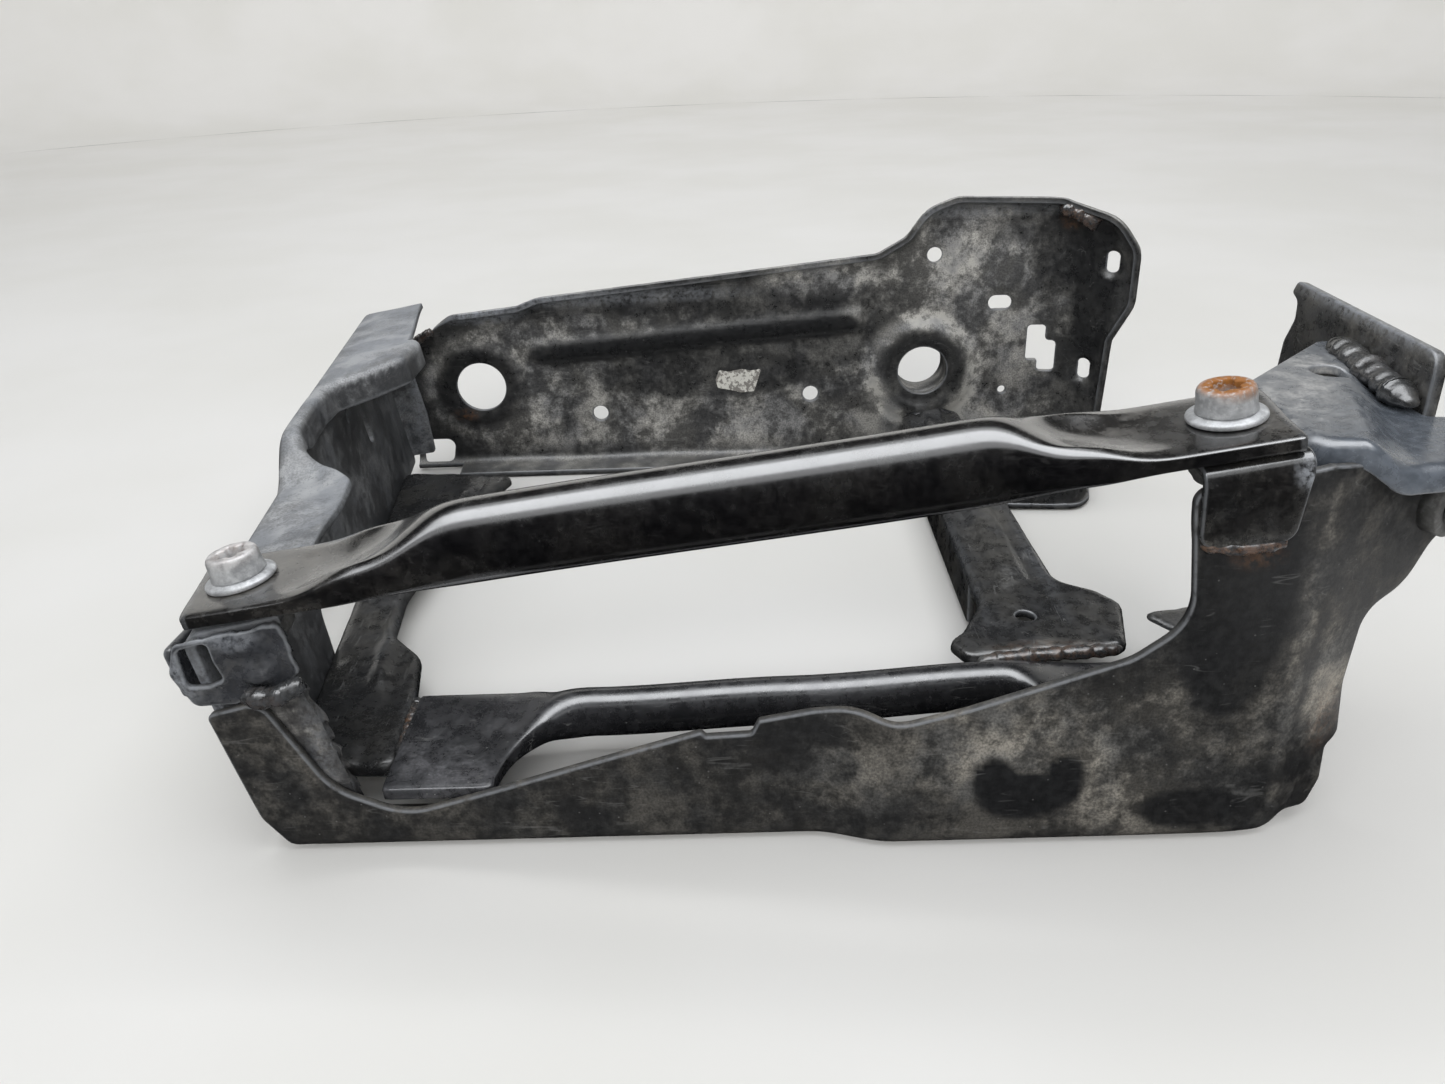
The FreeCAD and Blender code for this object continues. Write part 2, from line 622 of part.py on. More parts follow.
def rear_corner_welds():
    return [bead(Vector(300, 298, 127), Vector(309, 292, 124), 4.0),
            bead(Vector(-30, 300, 69), Vector(-20, 300, 75), 3.0)]


def trimmed(beads, nodes, neighbours):
    """Weld beads without what lies inside the plates that they join."""
    result = []
    for run in beads:
        for name in neighbours:
            run = run.cut(nodes[name])
        result += [solid for solid in run.Solids if solid.Volume > WELD_MIN_VOLUME]
    return Part.makeCompound(result)


def build():
    stations = bolt_stations()
    faces = seat_faces()
    nodes = {
        "front_side_plate": front_side_plate(),
        "rear_side_plate": rear_side_plate(),
        "rear_corner_foot": rear_corner_foot(),
        "rear_bore_collar": rear_bore_collar(),
        "left_end_member": left_end_member(),
        "left_seat_bracket": left_seat_bracket(),
        "left_corner_gusset": left_corner_gusset(),
        "left_cross_member": left_cross_member(),
        "lower_rail": lower_rail(),
        "right_cross_member": right_cross_member(),
        "leg_top_plate": leg_top_plate(),
        "leg_mounting_flange": leg_mounting_flange(),
        "leg_rear_web": leg_rear_web(),
        "leg_base_gusset": leg_base_gusset(),
        "leg_spacer_collar": leg_spacer_collar(),
        "right_seat_bracket": right_seat_bracket(),
        "upper_brace": upper_brace(),
    }
    for side, station in stations.items():
        nodes[side + "_weld_nut"] = nut(station, faces[side])
        nodes[side + "_bolt_washer"] = washer(station)
        nodes[side + "_brace_bolt"] = bolt(station)
    welds = {
        "left_seat_welds": (left_seat_welds(),
                            ("front_side_plate", "left_seat_bracket", "left_end_member")),
        "right_seat_welds": (right_seat_welds(), ("front_side_plate", "right_seat_bracket")),
        "leg_top_welds": (leg_top_welds(), ("leg_top_plate", "leg_mounting_flange")),
        "cross_member_welds": (cross_member_welds(),
                               ("right_cross_member", "left_cross_member", "lower_rail")),
        "rear_corner_welds": (rear_corner_welds(), ("rear_side_plate", "left_end_member")),
    }
    for name, (beads, neighbours) in welds.items():
        nodes[name] = trimmed(beads, nodes, neighbours)
    return nodes


def main():
    os.makedirs("parts", exist_ok=True)
    whole = FreeCAD.BoundBox()
    for name, shape in build().items():
        shape.translate(-ORIGIN)
        solids = shape.Solids
        result = solids[0] if len(solids) == 1 else Part.makeCompound(solids)
        if not result.isValid() or not solids:
            print("not a valid solid:", name)
        result.exportStep("parts/" + name + ".step")
        whole.add(result.BoundBox)
        print("%-22s %d solid(s) %9.0f mm3" % (name, len(solids), result.Volume))
    print("box X %.2f %.2f" % (whole.XMin, whole.XMax), "Y %.2f %.2f" % (whole.YMin, whole.YMax),
          "Z %.2f %.2f" % (whole.ZMin, whole.ZMax))


main()
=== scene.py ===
import json
import math
import bpy
import numpy as np
from mathutils import Matrix, Vector
from mathutils.geometry import delaunay_2d_cdt


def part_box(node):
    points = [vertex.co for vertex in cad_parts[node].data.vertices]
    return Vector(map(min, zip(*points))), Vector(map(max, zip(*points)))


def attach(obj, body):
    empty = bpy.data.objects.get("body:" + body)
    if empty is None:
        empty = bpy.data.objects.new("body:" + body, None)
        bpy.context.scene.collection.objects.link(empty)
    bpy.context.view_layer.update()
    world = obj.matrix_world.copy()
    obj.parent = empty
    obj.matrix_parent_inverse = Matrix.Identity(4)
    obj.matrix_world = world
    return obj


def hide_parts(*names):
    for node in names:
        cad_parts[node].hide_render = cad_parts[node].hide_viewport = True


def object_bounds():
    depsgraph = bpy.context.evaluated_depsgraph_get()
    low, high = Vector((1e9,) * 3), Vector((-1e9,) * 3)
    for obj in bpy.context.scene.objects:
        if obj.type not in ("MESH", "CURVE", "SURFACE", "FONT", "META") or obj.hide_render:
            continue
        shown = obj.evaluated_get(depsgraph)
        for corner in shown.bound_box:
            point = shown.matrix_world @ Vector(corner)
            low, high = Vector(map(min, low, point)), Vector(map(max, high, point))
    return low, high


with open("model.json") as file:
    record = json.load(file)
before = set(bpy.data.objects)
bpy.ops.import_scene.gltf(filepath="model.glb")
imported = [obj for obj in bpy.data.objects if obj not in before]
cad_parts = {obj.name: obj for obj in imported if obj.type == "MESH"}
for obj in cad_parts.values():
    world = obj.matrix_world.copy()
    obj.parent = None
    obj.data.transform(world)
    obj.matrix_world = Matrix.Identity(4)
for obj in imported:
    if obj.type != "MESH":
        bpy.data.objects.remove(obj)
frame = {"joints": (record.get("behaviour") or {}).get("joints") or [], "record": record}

CAD_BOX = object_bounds()
RECORD = frame["record"]
MM = 0.001
SHEET = 3.0

# Design axes, in millimetres: X along the front plate, Y to the rear, Z up from the floor.
# The frame's own boxes say where they lie in the row frame.
FRONT_END_X = 338.0
REAR_FACE_Y = 303.0
ORIGIN = np.array([FRONT_END_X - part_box("front_side_plate")[1].x / MM,
                   REAR_FACE_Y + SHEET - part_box("rear_side_plate")[1].y / MM, 0.0])


def to_row(points):
    return (np.asarray(points, float) - ORIGIN) * MM


def from_row(point):
    return np.asarray(point, float) / MM + ORIGIN


JOINTS = {j["name"]: j for j in frame["joints"]}
MOUNTS = {m["name"]: m for m in RECORD["mounts"]}
LIFT = np.array(JOINTS["brace_lift"]["axis"], float)
LEFT_BOLT = from_row(JOINTS["left_bolt_turn"]["pos_m"])
RIGHT_BOLT = from_row(JOINTS["right_bolt_turn"]["pos_m"])
LEFT_BORE = from_row(MOUNTS["rear_left_bore"]["pos_m"])
RIGHT_BORE = from_row(MOUNTS["rear_right_bore"]["pos_m"])
BORE_R = MOUNTS["rear_left_bore"]["dims"]["r_mm"]


# ---- small mathematics ----
def xyz(x, y, z):
    """Points from three coordinates, each an array or one number."""
    return np.stack(np.broadcast_arrays(x, y, z), 1)


def smooth(a, b, x):
    t = np.clip((np.asarray(x, float) - a) / (b - a), 0.0, 1.0)
    return t * t * (3.0 - 2.0 * t)


def ramp(x, width):
    """0 before 0 and x after it, with a rounded corner."""
    return 0.5 * (x + np.sqrt(x * x + width * width))


def hill(x, y, cx, cy, rx, ry=None, turn=0.0):
    """Smooth hill of height 1 over an ellipse."""
    ry = rx if ry is None else ry
    c, s = math.cos(math.radians(turn)), math.sin(math.radians(turn))
    u = ((x - cx) * c + (y - cy) * s) / rx
    v = (-(x - cx) * s + (y - cy) * c) / ry
    return np.clip(1.0 - u * u - v * v, 0.0, 1.0) ** 2


def unit(v):
    v = np.asarray(v, float)
    return v / np.maximum(np.linalg.norm(v, axis=-1, keepdims=True), 1e-12)


def waves(p, size, seed, octaves=3):
    """Smooth repeatable unevenness, about -1 to 1, from sums of slanted sines."""
    rng = np.random.default_rng(seed)
    total = np.zeros(len(p))
    gain = 1.0
    for _ in range(octaves):
        for _ in range(4):
            k = unit(rng.normal(size=3)) * (2.0 * math.pi / size) * rng.uniform(0.7, 1.3)
            total += gain * np.sin(p @ k + rng.uniform(0, 2 * math.pi)) / 3.0
        size *= 0.5
        gain *= 0.55
    return total


def uneven(x, other, size, seed, upright=False):
    """Gentle unevenness over a flat sheet: lying, or upright along X."""
    return waves(xyz(x, 0, other) if upright else xyz(x, other, 0), size, seed, 2)


# ---- outlines in the plane ----
def loop(corners, pitch=1.6):
    """Dense closed loop through (u, v, radius) corners."""
    points = []
    count = len(corners)
    for i in range(count):
        p = np.array(corners[i][:2], float)
        radius = corners[i][2]
        a = np.array(corners[i - 1][:2], float) - p
        b = np.array(corners[(i + 1) % count][:2], float) - p
        la, lb = np.linalg.norm(a), np.linalg.norm(b)
        a, b = a / la, b / lb
        half = math.acos(max(-1.0, min(1.0, float(a @ b)))) / 2.0
        if radius <= 0 or half > math.radians(88):
            points.append(p)
            continue
        reach = min(radius / math.tan(half), 0.48 * la, 0.48 * lb)
        radius = reach * math.tan(half)
        c = p + unit(a + b) * radius / math.sin(half)
        start, end = p + a * reach - c, p + b * reach - c
        first = math.atan2(start[1], start[0])
        turn = (math.atan2(end[1], end[0]) - first + math.pi) % (2 * math.pi) - math.pi
        steps = max(2, math.ceil(abs(turn) / math.radians(14)), math.ceil(abs(turn) * radius / pitch))
        for j in range(steps + 1):
            angle = first + turn * j / steps
            points.append(c + radius * np.array([math.cos(angle), math.sin(angle)]))
    dense = []
    for p, q in zip(points, points[1:] + points[:1]):
        parts = max(1, math.ceil(np.linalg.norm(q - p) / pitch))
        dense += [p + (q - p) * j / parts for j in range(parts)]
    return np.array(dense)


def refine(points, pitch=1.6):
    """Dense closed loop through plain points."""
    return loop([(p[0], p[1], 0) for p in points], pitch)


def offset(ring, d):
    """A counter-clockwise ring moved outwards by d."""
    a = unit(ring - np.roll(ring, 1, 0))
    b = unit(np.roll(ring, -1, 0) - ring)
    na = np.stack([a[:, 1], -a[:, 0]], 1)
    nb = np.stack([b[:, 1], -b[:, 0]], 1)
    m = unit(na + nb)
    return ring + m * (d / np.maximum((m * na).sum(1, keepdims=True), 0.5))


def circle(u, v, r, steps=None):
    steps = steps or max(20, int(r * 4))
    a = np.arange(steps) * 2 * math.pi / steps
    return np.stack([u + r * np.cos(a), v + r * np.sin(a)], 1)


def oblong(u, v, width, length, turn=0.0):
    """Round-ended slot, long along u before it is turned."""
    half = (length - width) / 2.0
    a = np.linspace(-math.pi / 2, math.pi / 2, 10)
    right = np.stack([half + width / 2 * np.cos(a), width / 2 * np.sin(a)], 1)
    ring = np.concatenate([right, -right])
    c, s = math.cos(math.radians(turn)), math.sin(math.radians(turn))
    return ring @ np.array([[c, s], [-s, c]]) + [u, v]


def inside(points, ring):
    result = np.zeros(len(points), bool)
    x0, y0 = ring[:, 0], ring[:, 1]
    x1, y1 = np.roll(x0, -1), np.roll(y0, -1)
    rise = np.where(y1 == y0, 1.0, y1 - y0)
    for i in range(0, len(points), 4000):
        x, y = points[i:i + 4000, 0:1], points[i:i + 4000, 1:2]
        crosses = (y0 <= y) != (y1 <= y)
        hit = crosses & (x < x0 + (y - y0) / rise * (x1 - x0))
        result[i:i + 4000] = hit.sum(1) % 2 == 1
    return result


def nearest(points, line, closed=True):
    """Distance, foot point and outward direction of the nearest stretch of a line."""
    p0 = line if closed else line[:-1]
    p1 = np.roll(line, -1, 0) if closed else line[1:]
    step = p1 - p0
    length2 = np.maximum((step * step).sum(1), 1e-12)
    far = np.empty(len(points))
    foot = np.empty((len(points), 2))
    side = np.empty((len(points), 2))
    for i in range(0, len(points), 3000):
        p = points[i:i + 3000, None, :]
        t = np.clip(((p - p0) * step).sum(2) / length2, 0, 1)
        q = p0 + t[..., None] * step
        d = np.linalg.norm(p - q, axis=2)
        k = d.argmin(1)
        rows = np.arange(len(k))
        far[i:i + 3000] = d[rows, k]
        foot[i:i + 3000] = q[rows, k]
        side[i:i + 3000] = np.stack([step[k, 1], -step[k, 0]], 1)
    return far, foot, unit(side)


def rolled(uv, line, radius, closed=True):
    """Rolls what lies outside a bend line over a radius.

    Returns the plan place and the height off the plane."""
    far, foot, side = nearest(uv, line, closed)
    out = ((uv - foot) * side).sum(1)
    a = np.where(out > 0, far, 0.0)
    direction = np.where(far[:, None] > 1e-6, unit(uv - foot), side)
    angle = np.minimum(a / radius, math.pi / 2)
    reach = radius * np.sin(angle)
    height = radius * (1 - np.cos(angle)) + np.maximum(a - radius * math.pi / 2, 0)
    plan = np.where((out > 0)[:, None], foot + direction * reach[:, None], uv)
    return plan, height


# ---- building meshes ----
def make_object(name, points, faces, body, material, nodes=(), attributes=None):
    faces = [tuple(int(i) for i in f) for f in faces]
    points = np.asarray(points)
    corners = np.array([(f[0], f[k], f[k + 1]) for f in faces for k in range(1, len(f) - 1)])
    a, b, c = (points[corners[:, k]] - points[0] for k in range(3))
    if (a * np.cross(b, c)).sum() < 0:
        faces = [f[::-1] for f in faces]
    mesh = bpy.data.meshes.new(name)
    mesh.from_pydata(to_row(points).tolist(), [], faces)
    mesh.polygons.foreach_set("use_smooth", np.ones(len(mesh.polygons), bool))
    for key, values in (attributes or {}).items():
        layer = mesh.attributes.new(key, "FLOAT", "POINT")
        layer.data.foreach_set("value", np.asarray(values, np.float32))
    mesh.materials.append(material)
    mesh.update()
    piece = bpy.data.objects.new(name, mesh)
    bpy.context.scene.collection.objects.link(piece)
    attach(piece, body)
    if nodes:
        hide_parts(*nodes)


def stains(points, spots):
    """Dust, rust and bare amounts at points, from (kind, centre, radius, amount) spots."""
    found = {kind: np.zeros(len(points)) for kind in ("dust", "rust", "bare")}
    for kind, centre, radius, amount in spots:
        d = (points - np.array(centre, float)) / np.array(radius, float)
        blob = np.clip(1.0 - (d * d).sum(1), 0, 1)
        if kind == "clean":
            found["dust"] *= 1.0 - amount * np.clip(blob * 2.5, 0, 1)
        elif kind == "ring":
            # A ring lays a pale band of dust round a pressed dish; it also serves as a painted highlight on
            # the dish's slope.
            blob = np.exp(-((np.sqrt((d * d).sum(1)) - 1.0) / 0.16) ** 2)
            found["dust"] = np.maximum(found["dust"], amount * blob)
        else:
            found[kind] = np.maximum(found[kind], amount * blob)
    return found


def panel(name, outline, place, material, nodes=(), thick=SHEET, holes=(), pitch=1.8,
          edge=0.75, flip=False, fine=(None, None), spots=(), base_dust=0.3):
    """Sheet with rounded cut edges.

    outline and holes are dense loops in the sheet's own (u, v) plane; place turns (u, v) into the
    shown face, and the sheet's thickness lies behind that face."""
    true = [outline] + list(holes)
    loops = [offset(outline, -edge)] + [offset(hole, edge) for hole in holes]

    def on_sheet(p):
        return inside(p, loops[0]) & ~np.any([inside(p, ring) for ring in loops[1:]] or [False], 0)

    lo, hi = outline.min(0), outline.max(0)
    axes = []
    for k in range(2):
        stops = fine[k] or [(lo[k], pitch)]
        values = []
        for i, (start, step) in enumerate(stops):
            end = stops[i + 1][0] if i + 1 < len(stops) else hi[k]
            values += list(np.arange(start, end - 0.3 * step, step))
        axes.append(np.array(values))
    gu, gv = np.meshgrid(*axes)
    grid = np.stack([gu.ravel(), gv.ravel()], 1)
    grid = grid[on_sheet(grid)]
    far = np.min([nearest(grid, ring)[0] for ring in loops], 0)
    grid = grid[far > 0.75]
    points, edges, starts = [], [], []
    for ring in loops:
        starts.append(len(points))
        count = len(ring)
        edges += [(len(points) + i, len(points) + (i + 1) % count) for i in range(count)]
        points += list(ring)
    points = np.array(points + list(grid))
    out = delaunay_2d_cdt([Vector(p) for p in points], edges, [], 0, 1e-5, True)
    uv = np.array([tuple(p) for p in out[0]])
    triangles = np.array([f for f in out[2] if len(f) == 3])
    triangles = triangles[on_sheet(uv[triangles].mean(1))]
    where = {old: new for new, olds in enumerate(out[3]) for old in olds}

    def sense(q):
        step = 0.04
        du = place(q + [step, 0]) - place(q - [step, 0])
        dv = place(q + [0, step]) - place(q - [0, step])
        n = unit(np.cross(du, dv))
        return -n if flip else n

    front = place(uv)
    normal = sense(uv)
    total = len(uv)
    verts = [front, front - normal * thick]
    faces = [tuple(t) for t in triangles]
    faces += [(t[2] + total, t[1] + total, t[0] + total) for t in triangles]
    far = np.min([nearest(uv, ring)[0] for ring in true], 0)
    # rim marks the rounded cut edges and a thin band beside them; painted() lightens them, as rubbed paint
    # and as painted edge highlight.
    rim = 0.55 * np.exp(-np.maximum(far - edge, 0) / 0.35)
    rims = [rim, 0.6 * rim]
    base = 2 * total
    for k, (ring, real) in enumerate(zip(loops, true)):
        index = np.array([where[starts[k] + i] for i in range(len(ring))])
        top, n = front[index], normal[index]
        shift = place(real) - top
        shift -= (shift * n).sum(1, keepdims=True) * n
        bottom = top - n * thick
        levels = [index]
        for side, sign, angle in ((top, -1, 30), (top, -1, 60), (top, -1, 90),
                                  (bottom, 1, 90), (bottom, 1, 60), (bottom, 1, 30)):
            s, c = math.sin(math.radians(angle)), math.cos(math.radians(angle))
            verts.append(side + shift * s + sign * n * (edge * (1 - c)))
            levels.append(base + np.arange(len(ring)))
            base += len(ring)
        levels.append(index + total)
        rims.append(np.repeat((0.9, 1.0, 0.72, 0.45, 0.4, 0.4), len(ring)))
        for a, b in zip(levels, levels[1:]):
            a2, b2 = np.roll(a, -1), np.roll(b, -1)
            quads = zip(a2, a, b, b2) if k == 0 else zip(a, a2, b2, b)
            faces += list(quads)
    if flip:
        faces = [f[::-1] for f in faces]
    verts = np.concatenate(verts)
    marks = stains(verts, [("dust", verts.mean(0), (1e4, 1e4, 1e4), base_dust)] + list(spots))
    marks["rim"] = np.concatenate(rims)
    make_object(name, verts, faces, "frame", material, nodes, marks)


def tube(name, rings, body, material, nodes=(), spots=(), base_dust=0.2, closed=False, rim=None):
    """Closed skin over rings with the same number of points."""
    rings = [np.asarray(r, float) for r in rings]
    count = len(rings[0])
    verts = np.concatenate(rings)
    faces = []
    index = np.arange(count)
    following = np.roll(index, -1)
    total = len(rings)
    for i in range(total if closed else total - 1):
        a, b = i * count, ((i + 1) % total) * count
        faces += list(zip(a + index, a + following, b + following, b + index))
    values = np.zeros(len(verts)) if rim is None else np.repeat(rim, count)
    if not closed:
        for ring, start, flipped in ((rings[0], 0, True), (rings[-1], (total - 1) * count, False)):
            verts = np.concatenate([verts, [ring.mean(0)]])
            values = np.append(values, values[start])
            centre = len(verts) - 1
            fan = list(zip(start + index, start + following, [centre] * count))
            faces += [f[::-1] for f in fan] if flipped else fan
    marks = stains(verts, [("dust", verts.mean(0), (1e4, 1e4, 1e4), base_dust)] + list(spots))
    marks["rim"] = values
    make_object(name, verts, faces, body, material, nodes, marks)


# ---- materials ----
class Look:
    """Principled material with helpers for procedural layers; sizes are in millimetres."""

    def __init__(self, name):
        self.material = bpy.data.materials.new(name)
        self.material.use_nodes = True
        self.tree = self.material.node_tree
        self.tree.nodes.clear()
        self.shader = self.add("ShaderNodeBsdfPrincipled")
        self.join(self.shader.outputs["BSDF"], self.add("ShaderNodeOutputMaterial").inputs["Surface"])
        self.where = self.add("ShaderNodeTexCoord").outputs["Object"]

    def add(self, kind, **settings):
        node = self.tree.nodes.new(kind)
        for key, value in settings.items():
            setattr(node, key, value)
        return node

    def join(self, source, target):
        self.tree.links.new(source, target)

    def put(self, socket, value):
        if isinstance(value, bpy.types.NodeSocket):
            self.join(value, socket)
        elif hasattr(value, "__len__") and len(value) == 3 and socket.type == "RGBA":
            socket.default_value = (*value, 1.0)
        else:
            socket.default_value = value

    def sum(self, operation, a, b, clamp=False):
        node = self.add("ShaderNodeMath", operation=operation, use_clamp=clamp)
        self.put(node.inputs[0], a)
        self.put(node.inputs[1], b)
        return node.outputs[0]

    def spread(self, value, low, high, to_low=0.0, to_high=1.0):
        node = self.add("ShaderNodeMapRange", interpolation_type="SMOOTHSTEP")
        for socket, item in zip(node.inputs, (value, low, high, to_low, to_high)):
            self.put(socket, item)
        return node.outputs[0]

    def mix(self, factor, a, b):
        node = self.add("ShaderNodeMix", data_type="RGBA")
        self.put(node.inputs[0], factor)
        self.put(node.inputs[6], a)
        self.put(node.inputs[7], b)
        return node.outputs[2]

    def attribute(self, name):
        return self.add("ShaderNodeAttribute", attribute_name=name).outputs["Fac"]

    def turned(self, turn, stretch):
        node = self.add("ShaderNodeMapping")
        self.join(self.where, node.inputs["Vector"])
        node.inputs["Rotation"].default_value = [math.radians(a) for a in turn]
        node.inputs["Scale"].default_value = stretch
        return node.outputs[0]

    def noise(self, size, detail=4.0, rough=0.55, where=None, distort=0.0):
        node = self.add("ShaderNodeTexNoise")
        self.join(where or self.where, node.inputs["Vector"])
        node.inputs["Scale"].default_value = 1000.0 / size
        node.inputs["Detail"].default_value = detail
        node.inputs["Roughness"].default_value = rough
        node.inputs["Distortion"].default_value = distort
        return node.outputs["Fac"]

    def scratches(self, size, turn, run, width=0.012, stretch=14.0):
        """Thin broken lines along one direction: run is 0 for X or 1 for Y."""
        thin = [1.0, 1.0, 1.0]
        thin[run] = 1.0 / stretch
        value = self.noise(size, 1.0, 0.4, self.turned(turn, thin))
        line = self.spread(self.sum("ABSOLUTE", self.sum("SUBTRACT", value, 0.5), 0.0), width, 0.0)
        return self.sum("MULTIPLY", line, self.spread(self.noise(9.0, 3.0), 0.54, 0.64))

    def specks(self, size, share=0.12):
        node = self.add("ShaderNodeTexVoronoi")
        self.join(self.where, node.inputs["Vector"])
        node.inputs["Scale"].default_value = 1000.0 / size
        spot = self.spread(node.outputs["Distance"], share, share * 0.4)
        split = self.add("ShaderNodeSeparateColor")
        self.join(node.outputs["Color"], split.inputs[0])
        return self.sum("MULTIPLY", spot, self.spread(split.outputs[0], 0.62, 0.7))

    def up(self):
        split = self.add("ShaderNodeSeparateXYZ")
        self.join(self.add("ShaderNodeNewGeometry").outputs["Normal"], split.inputs[0])
        return self.spread(split.outputs["Z"], 0.25, 1.0)

    def bumps(self, layers):
        """Bump from (height value, depth in millimetres) layers, chained."""
        normal = None
        for height, depth in layers:
            node = self.add("ShaderNodeBump")
            node.inputs["Strength"].default_value = 1.0
            node.inputs["Distance"].default_value = depth * MM
            self.put(node.inputs["Height"], height)
            if normal is not None:
                self.join(normal, node.inputs["Normal"])
            normal = node.outputs[0]
        self.join(normal, self.shader.inputs["Normal"])


def painted(name, paint, rough, dust_amount=1.0, edge_wear_and_highlight=0.8, peel=0.02, hammer=0.0, coat=0.0,
            up_dust=0.35, dust=(0.2, 0.19, 0.168), dust_2=(0.13, 0.13, 0.13), scratch=0.35, run=0, gloss=0.6,
            lumps=0.05, coat_rough=0.12):
    """Black paint with dust, scratches, rust, and lighter edges that are partly rubbed paint and partly
    painted edge highlight.
    """
    k = Look(name)
    broad = k.noise(30.0, 5.0, 0.62, distort=0.4)
    middle = k.noise(6.0, 6.0, 0.66)
    grain = k.noise(0.8, 3.0, 0.6)
    both = k.sum("ADD", k.sum("MULTIPLY", broad, 0.6), k.sum("MULTIPLY", middle, 0.4))
    patch = k.spread(both, 0.4, 0.64)
    lying = k.sum("MULTIPLY", k.sum("MULTIPLY", k.up(), up_dust), k.spread(both, 0.3, 0.7, 0.35, 1.0))
    held = k.sum("MULTIPLY", k.attribute("dust"), k.spread(patch, 0.0, 1.0, 0.22, 1.15))
    cover = k.sum("MULTIPLY", k.sum("ADD", held, lying), k.spread(grain, 0.3, 0.7, 0.55, 1.2))
    cover = k.sum("MULTIPLY", cover, dust_amount, clamp=True)
    tone = k.mix(k.spread(k.noise(17.0, 4.0), 0.4, 0.62), dust, dust_2)
    shade = k.mix(k.spread(k.noise(3.0, 5.0), 0.35, 0.7), paint, [c * 1.45 + 0.002 for c in paint])
    colour = k.mix(cover, shade, tone)
    lines = k.sum("MAXIMUM", k.scratches(4.5, (9, 13, 7), run), k.scratches(3.6, (-12, -38, -21), run))
    lines = k.sum("MULTIPLY", k.sum("MAXIMUM", k.sum("MULTIPLY", lines, 0.6), k.specks(3.0)), scratch)
    colour = k.mix(lines, colour, (0.26, 0.26, 0.255))
    # Lighter grey on the rounded cut edges: partly rubbed paint, partly a painted highlight along the edges.
    rim = k.sum("MULTIPLY", k.spread(k.attribute("rim"), 0.45, 0.95),
                k.spread(k.noise(3.4, 4.0, 0.6), 0.2, 0.55))
    rim = k.sum("MULTIPLY", rim, edge_wear_and_highlight, clamp=True)
    colour = k.mix(rim, colour, (0.15, 0.157, 0.168))
    bare = k.sum("MULTIPLY", k.attribute("bare"), k.spread(k.noise(2.2, 6.0, 0.7), 0.34, 0.6), clamp=True)
    colour = k.mix(bare, colour, (0.27, 0.285, 0.31))
    rusty = k.sum("MULTIPLY", k.attribute("rust"), k.spread(k.noise(2.6, 6.0, 0.72), 0.4, 0.6), clamp=True)
    rust = k.mix(k.noise(1.2, 4.0), (0.16, 0.055, 0.018), (0.4, 0.19, 0.07))
    k.put(k.shader.inputs["Base Color"], k.mix(rusty, colour, rust))
    worn = k.sum("MAXIMUM", k.sum("MULTIPLY", cover, 0.75), rusty)
    worn = k.sum("MAXIMUM", worn, k.sum("MULTIPLY", rim, 0.5))
    low = k.spread(middle, 0.3, 0.7, rough - 0.06, rough + 0.08)
    k.put(k.shader.inputs["Roughness"], k.sum("ADD", low, k.sum("MULTIPLY", worn, 0.42), clamp=True))
    k.shader.inputs["Specular IOR Level"].default_value = gloss
    if coat:
        k.shader.inputs["Coat Weight"].default_value = coat
        k.shader.inputs["Coat Roughness"].default_value = coat_rough
    layers = [(k.noise(1.5, 2.0), peel), (middle, lumps), (cover, 0.04), (lines, -0.03), (rusty, 0.08)]
    if hammer:
        layers.insert(0, (k.noise(4.5, 3.0, 0.6), hammer))
    k.bumps(layers)
    return k.material


def plated(name, colour, rough, metallic=0.35, bloom=0.5, rust_tone=(0.42, 0.17, 0.04)):
    """Zinc flake or bare plated steel with white bloom and rust."""
    k = Look(name)
    cloud = k.spread(k.noise(3.2, 6.0, 0.66), 0.36, 0.66)
    grain = k.noise(0.35, 3.0, 0.7)
    base = k.mix(cloud, [c * 0.72 for c in colour], colour)
    white = k.sum("MULTIPLY", k.spread(k.noise(2.0, 6.0, 0.7), 0.5, 0.64), bloom)
    white = k.sum("MAXIMUM", white, k.sum("MULTIPLY", k.attribute("bare"), cloud))
    base = k.mix(white, base, (0.66, 0.67, 0.67))
    dirt = k.sum("MULTIPLY", k.attribute("dust"), k.spread(k.noise(1.4, 5.0, 0.7), 0.35, 0.62))
    base = k.mix(dirt, base, (0.05, 0.045, 0.04))
    rusty = k.sum("MULTIPLY", k.attribute("rust"), k.spread(k.noise(1.3, 6.0, 0.7), 0.3, 0.52), clamp=True)
    tone = k.mix(k.noise(0.9, 4.0), [c * 0.45 for c in rust_tone], rust_tone)
    k.put(k.shader.inputs["Base Color"], k.mix(rusty, base, tone))
    k.shader.inputs["Metallic"].default_value = metallic
    rusty_rough = k.sum("MULTIPLY", k.sum("MAXIMUM", rusty, k.sum("MULTIPLY", white, 0.6)), 0.35)
    k.put(k.shader.inputs["Roughness"], k.sum("ADD", k.spread(cloud, 0.0, 1.0, rough, rough + 0.12),
                                             rusty_rough, clamp=True))
    k.bumps([(grain, 0.012), (k.noise(1.1, 4.0), 0.03), (rusty, 0.06)])
    return k.material


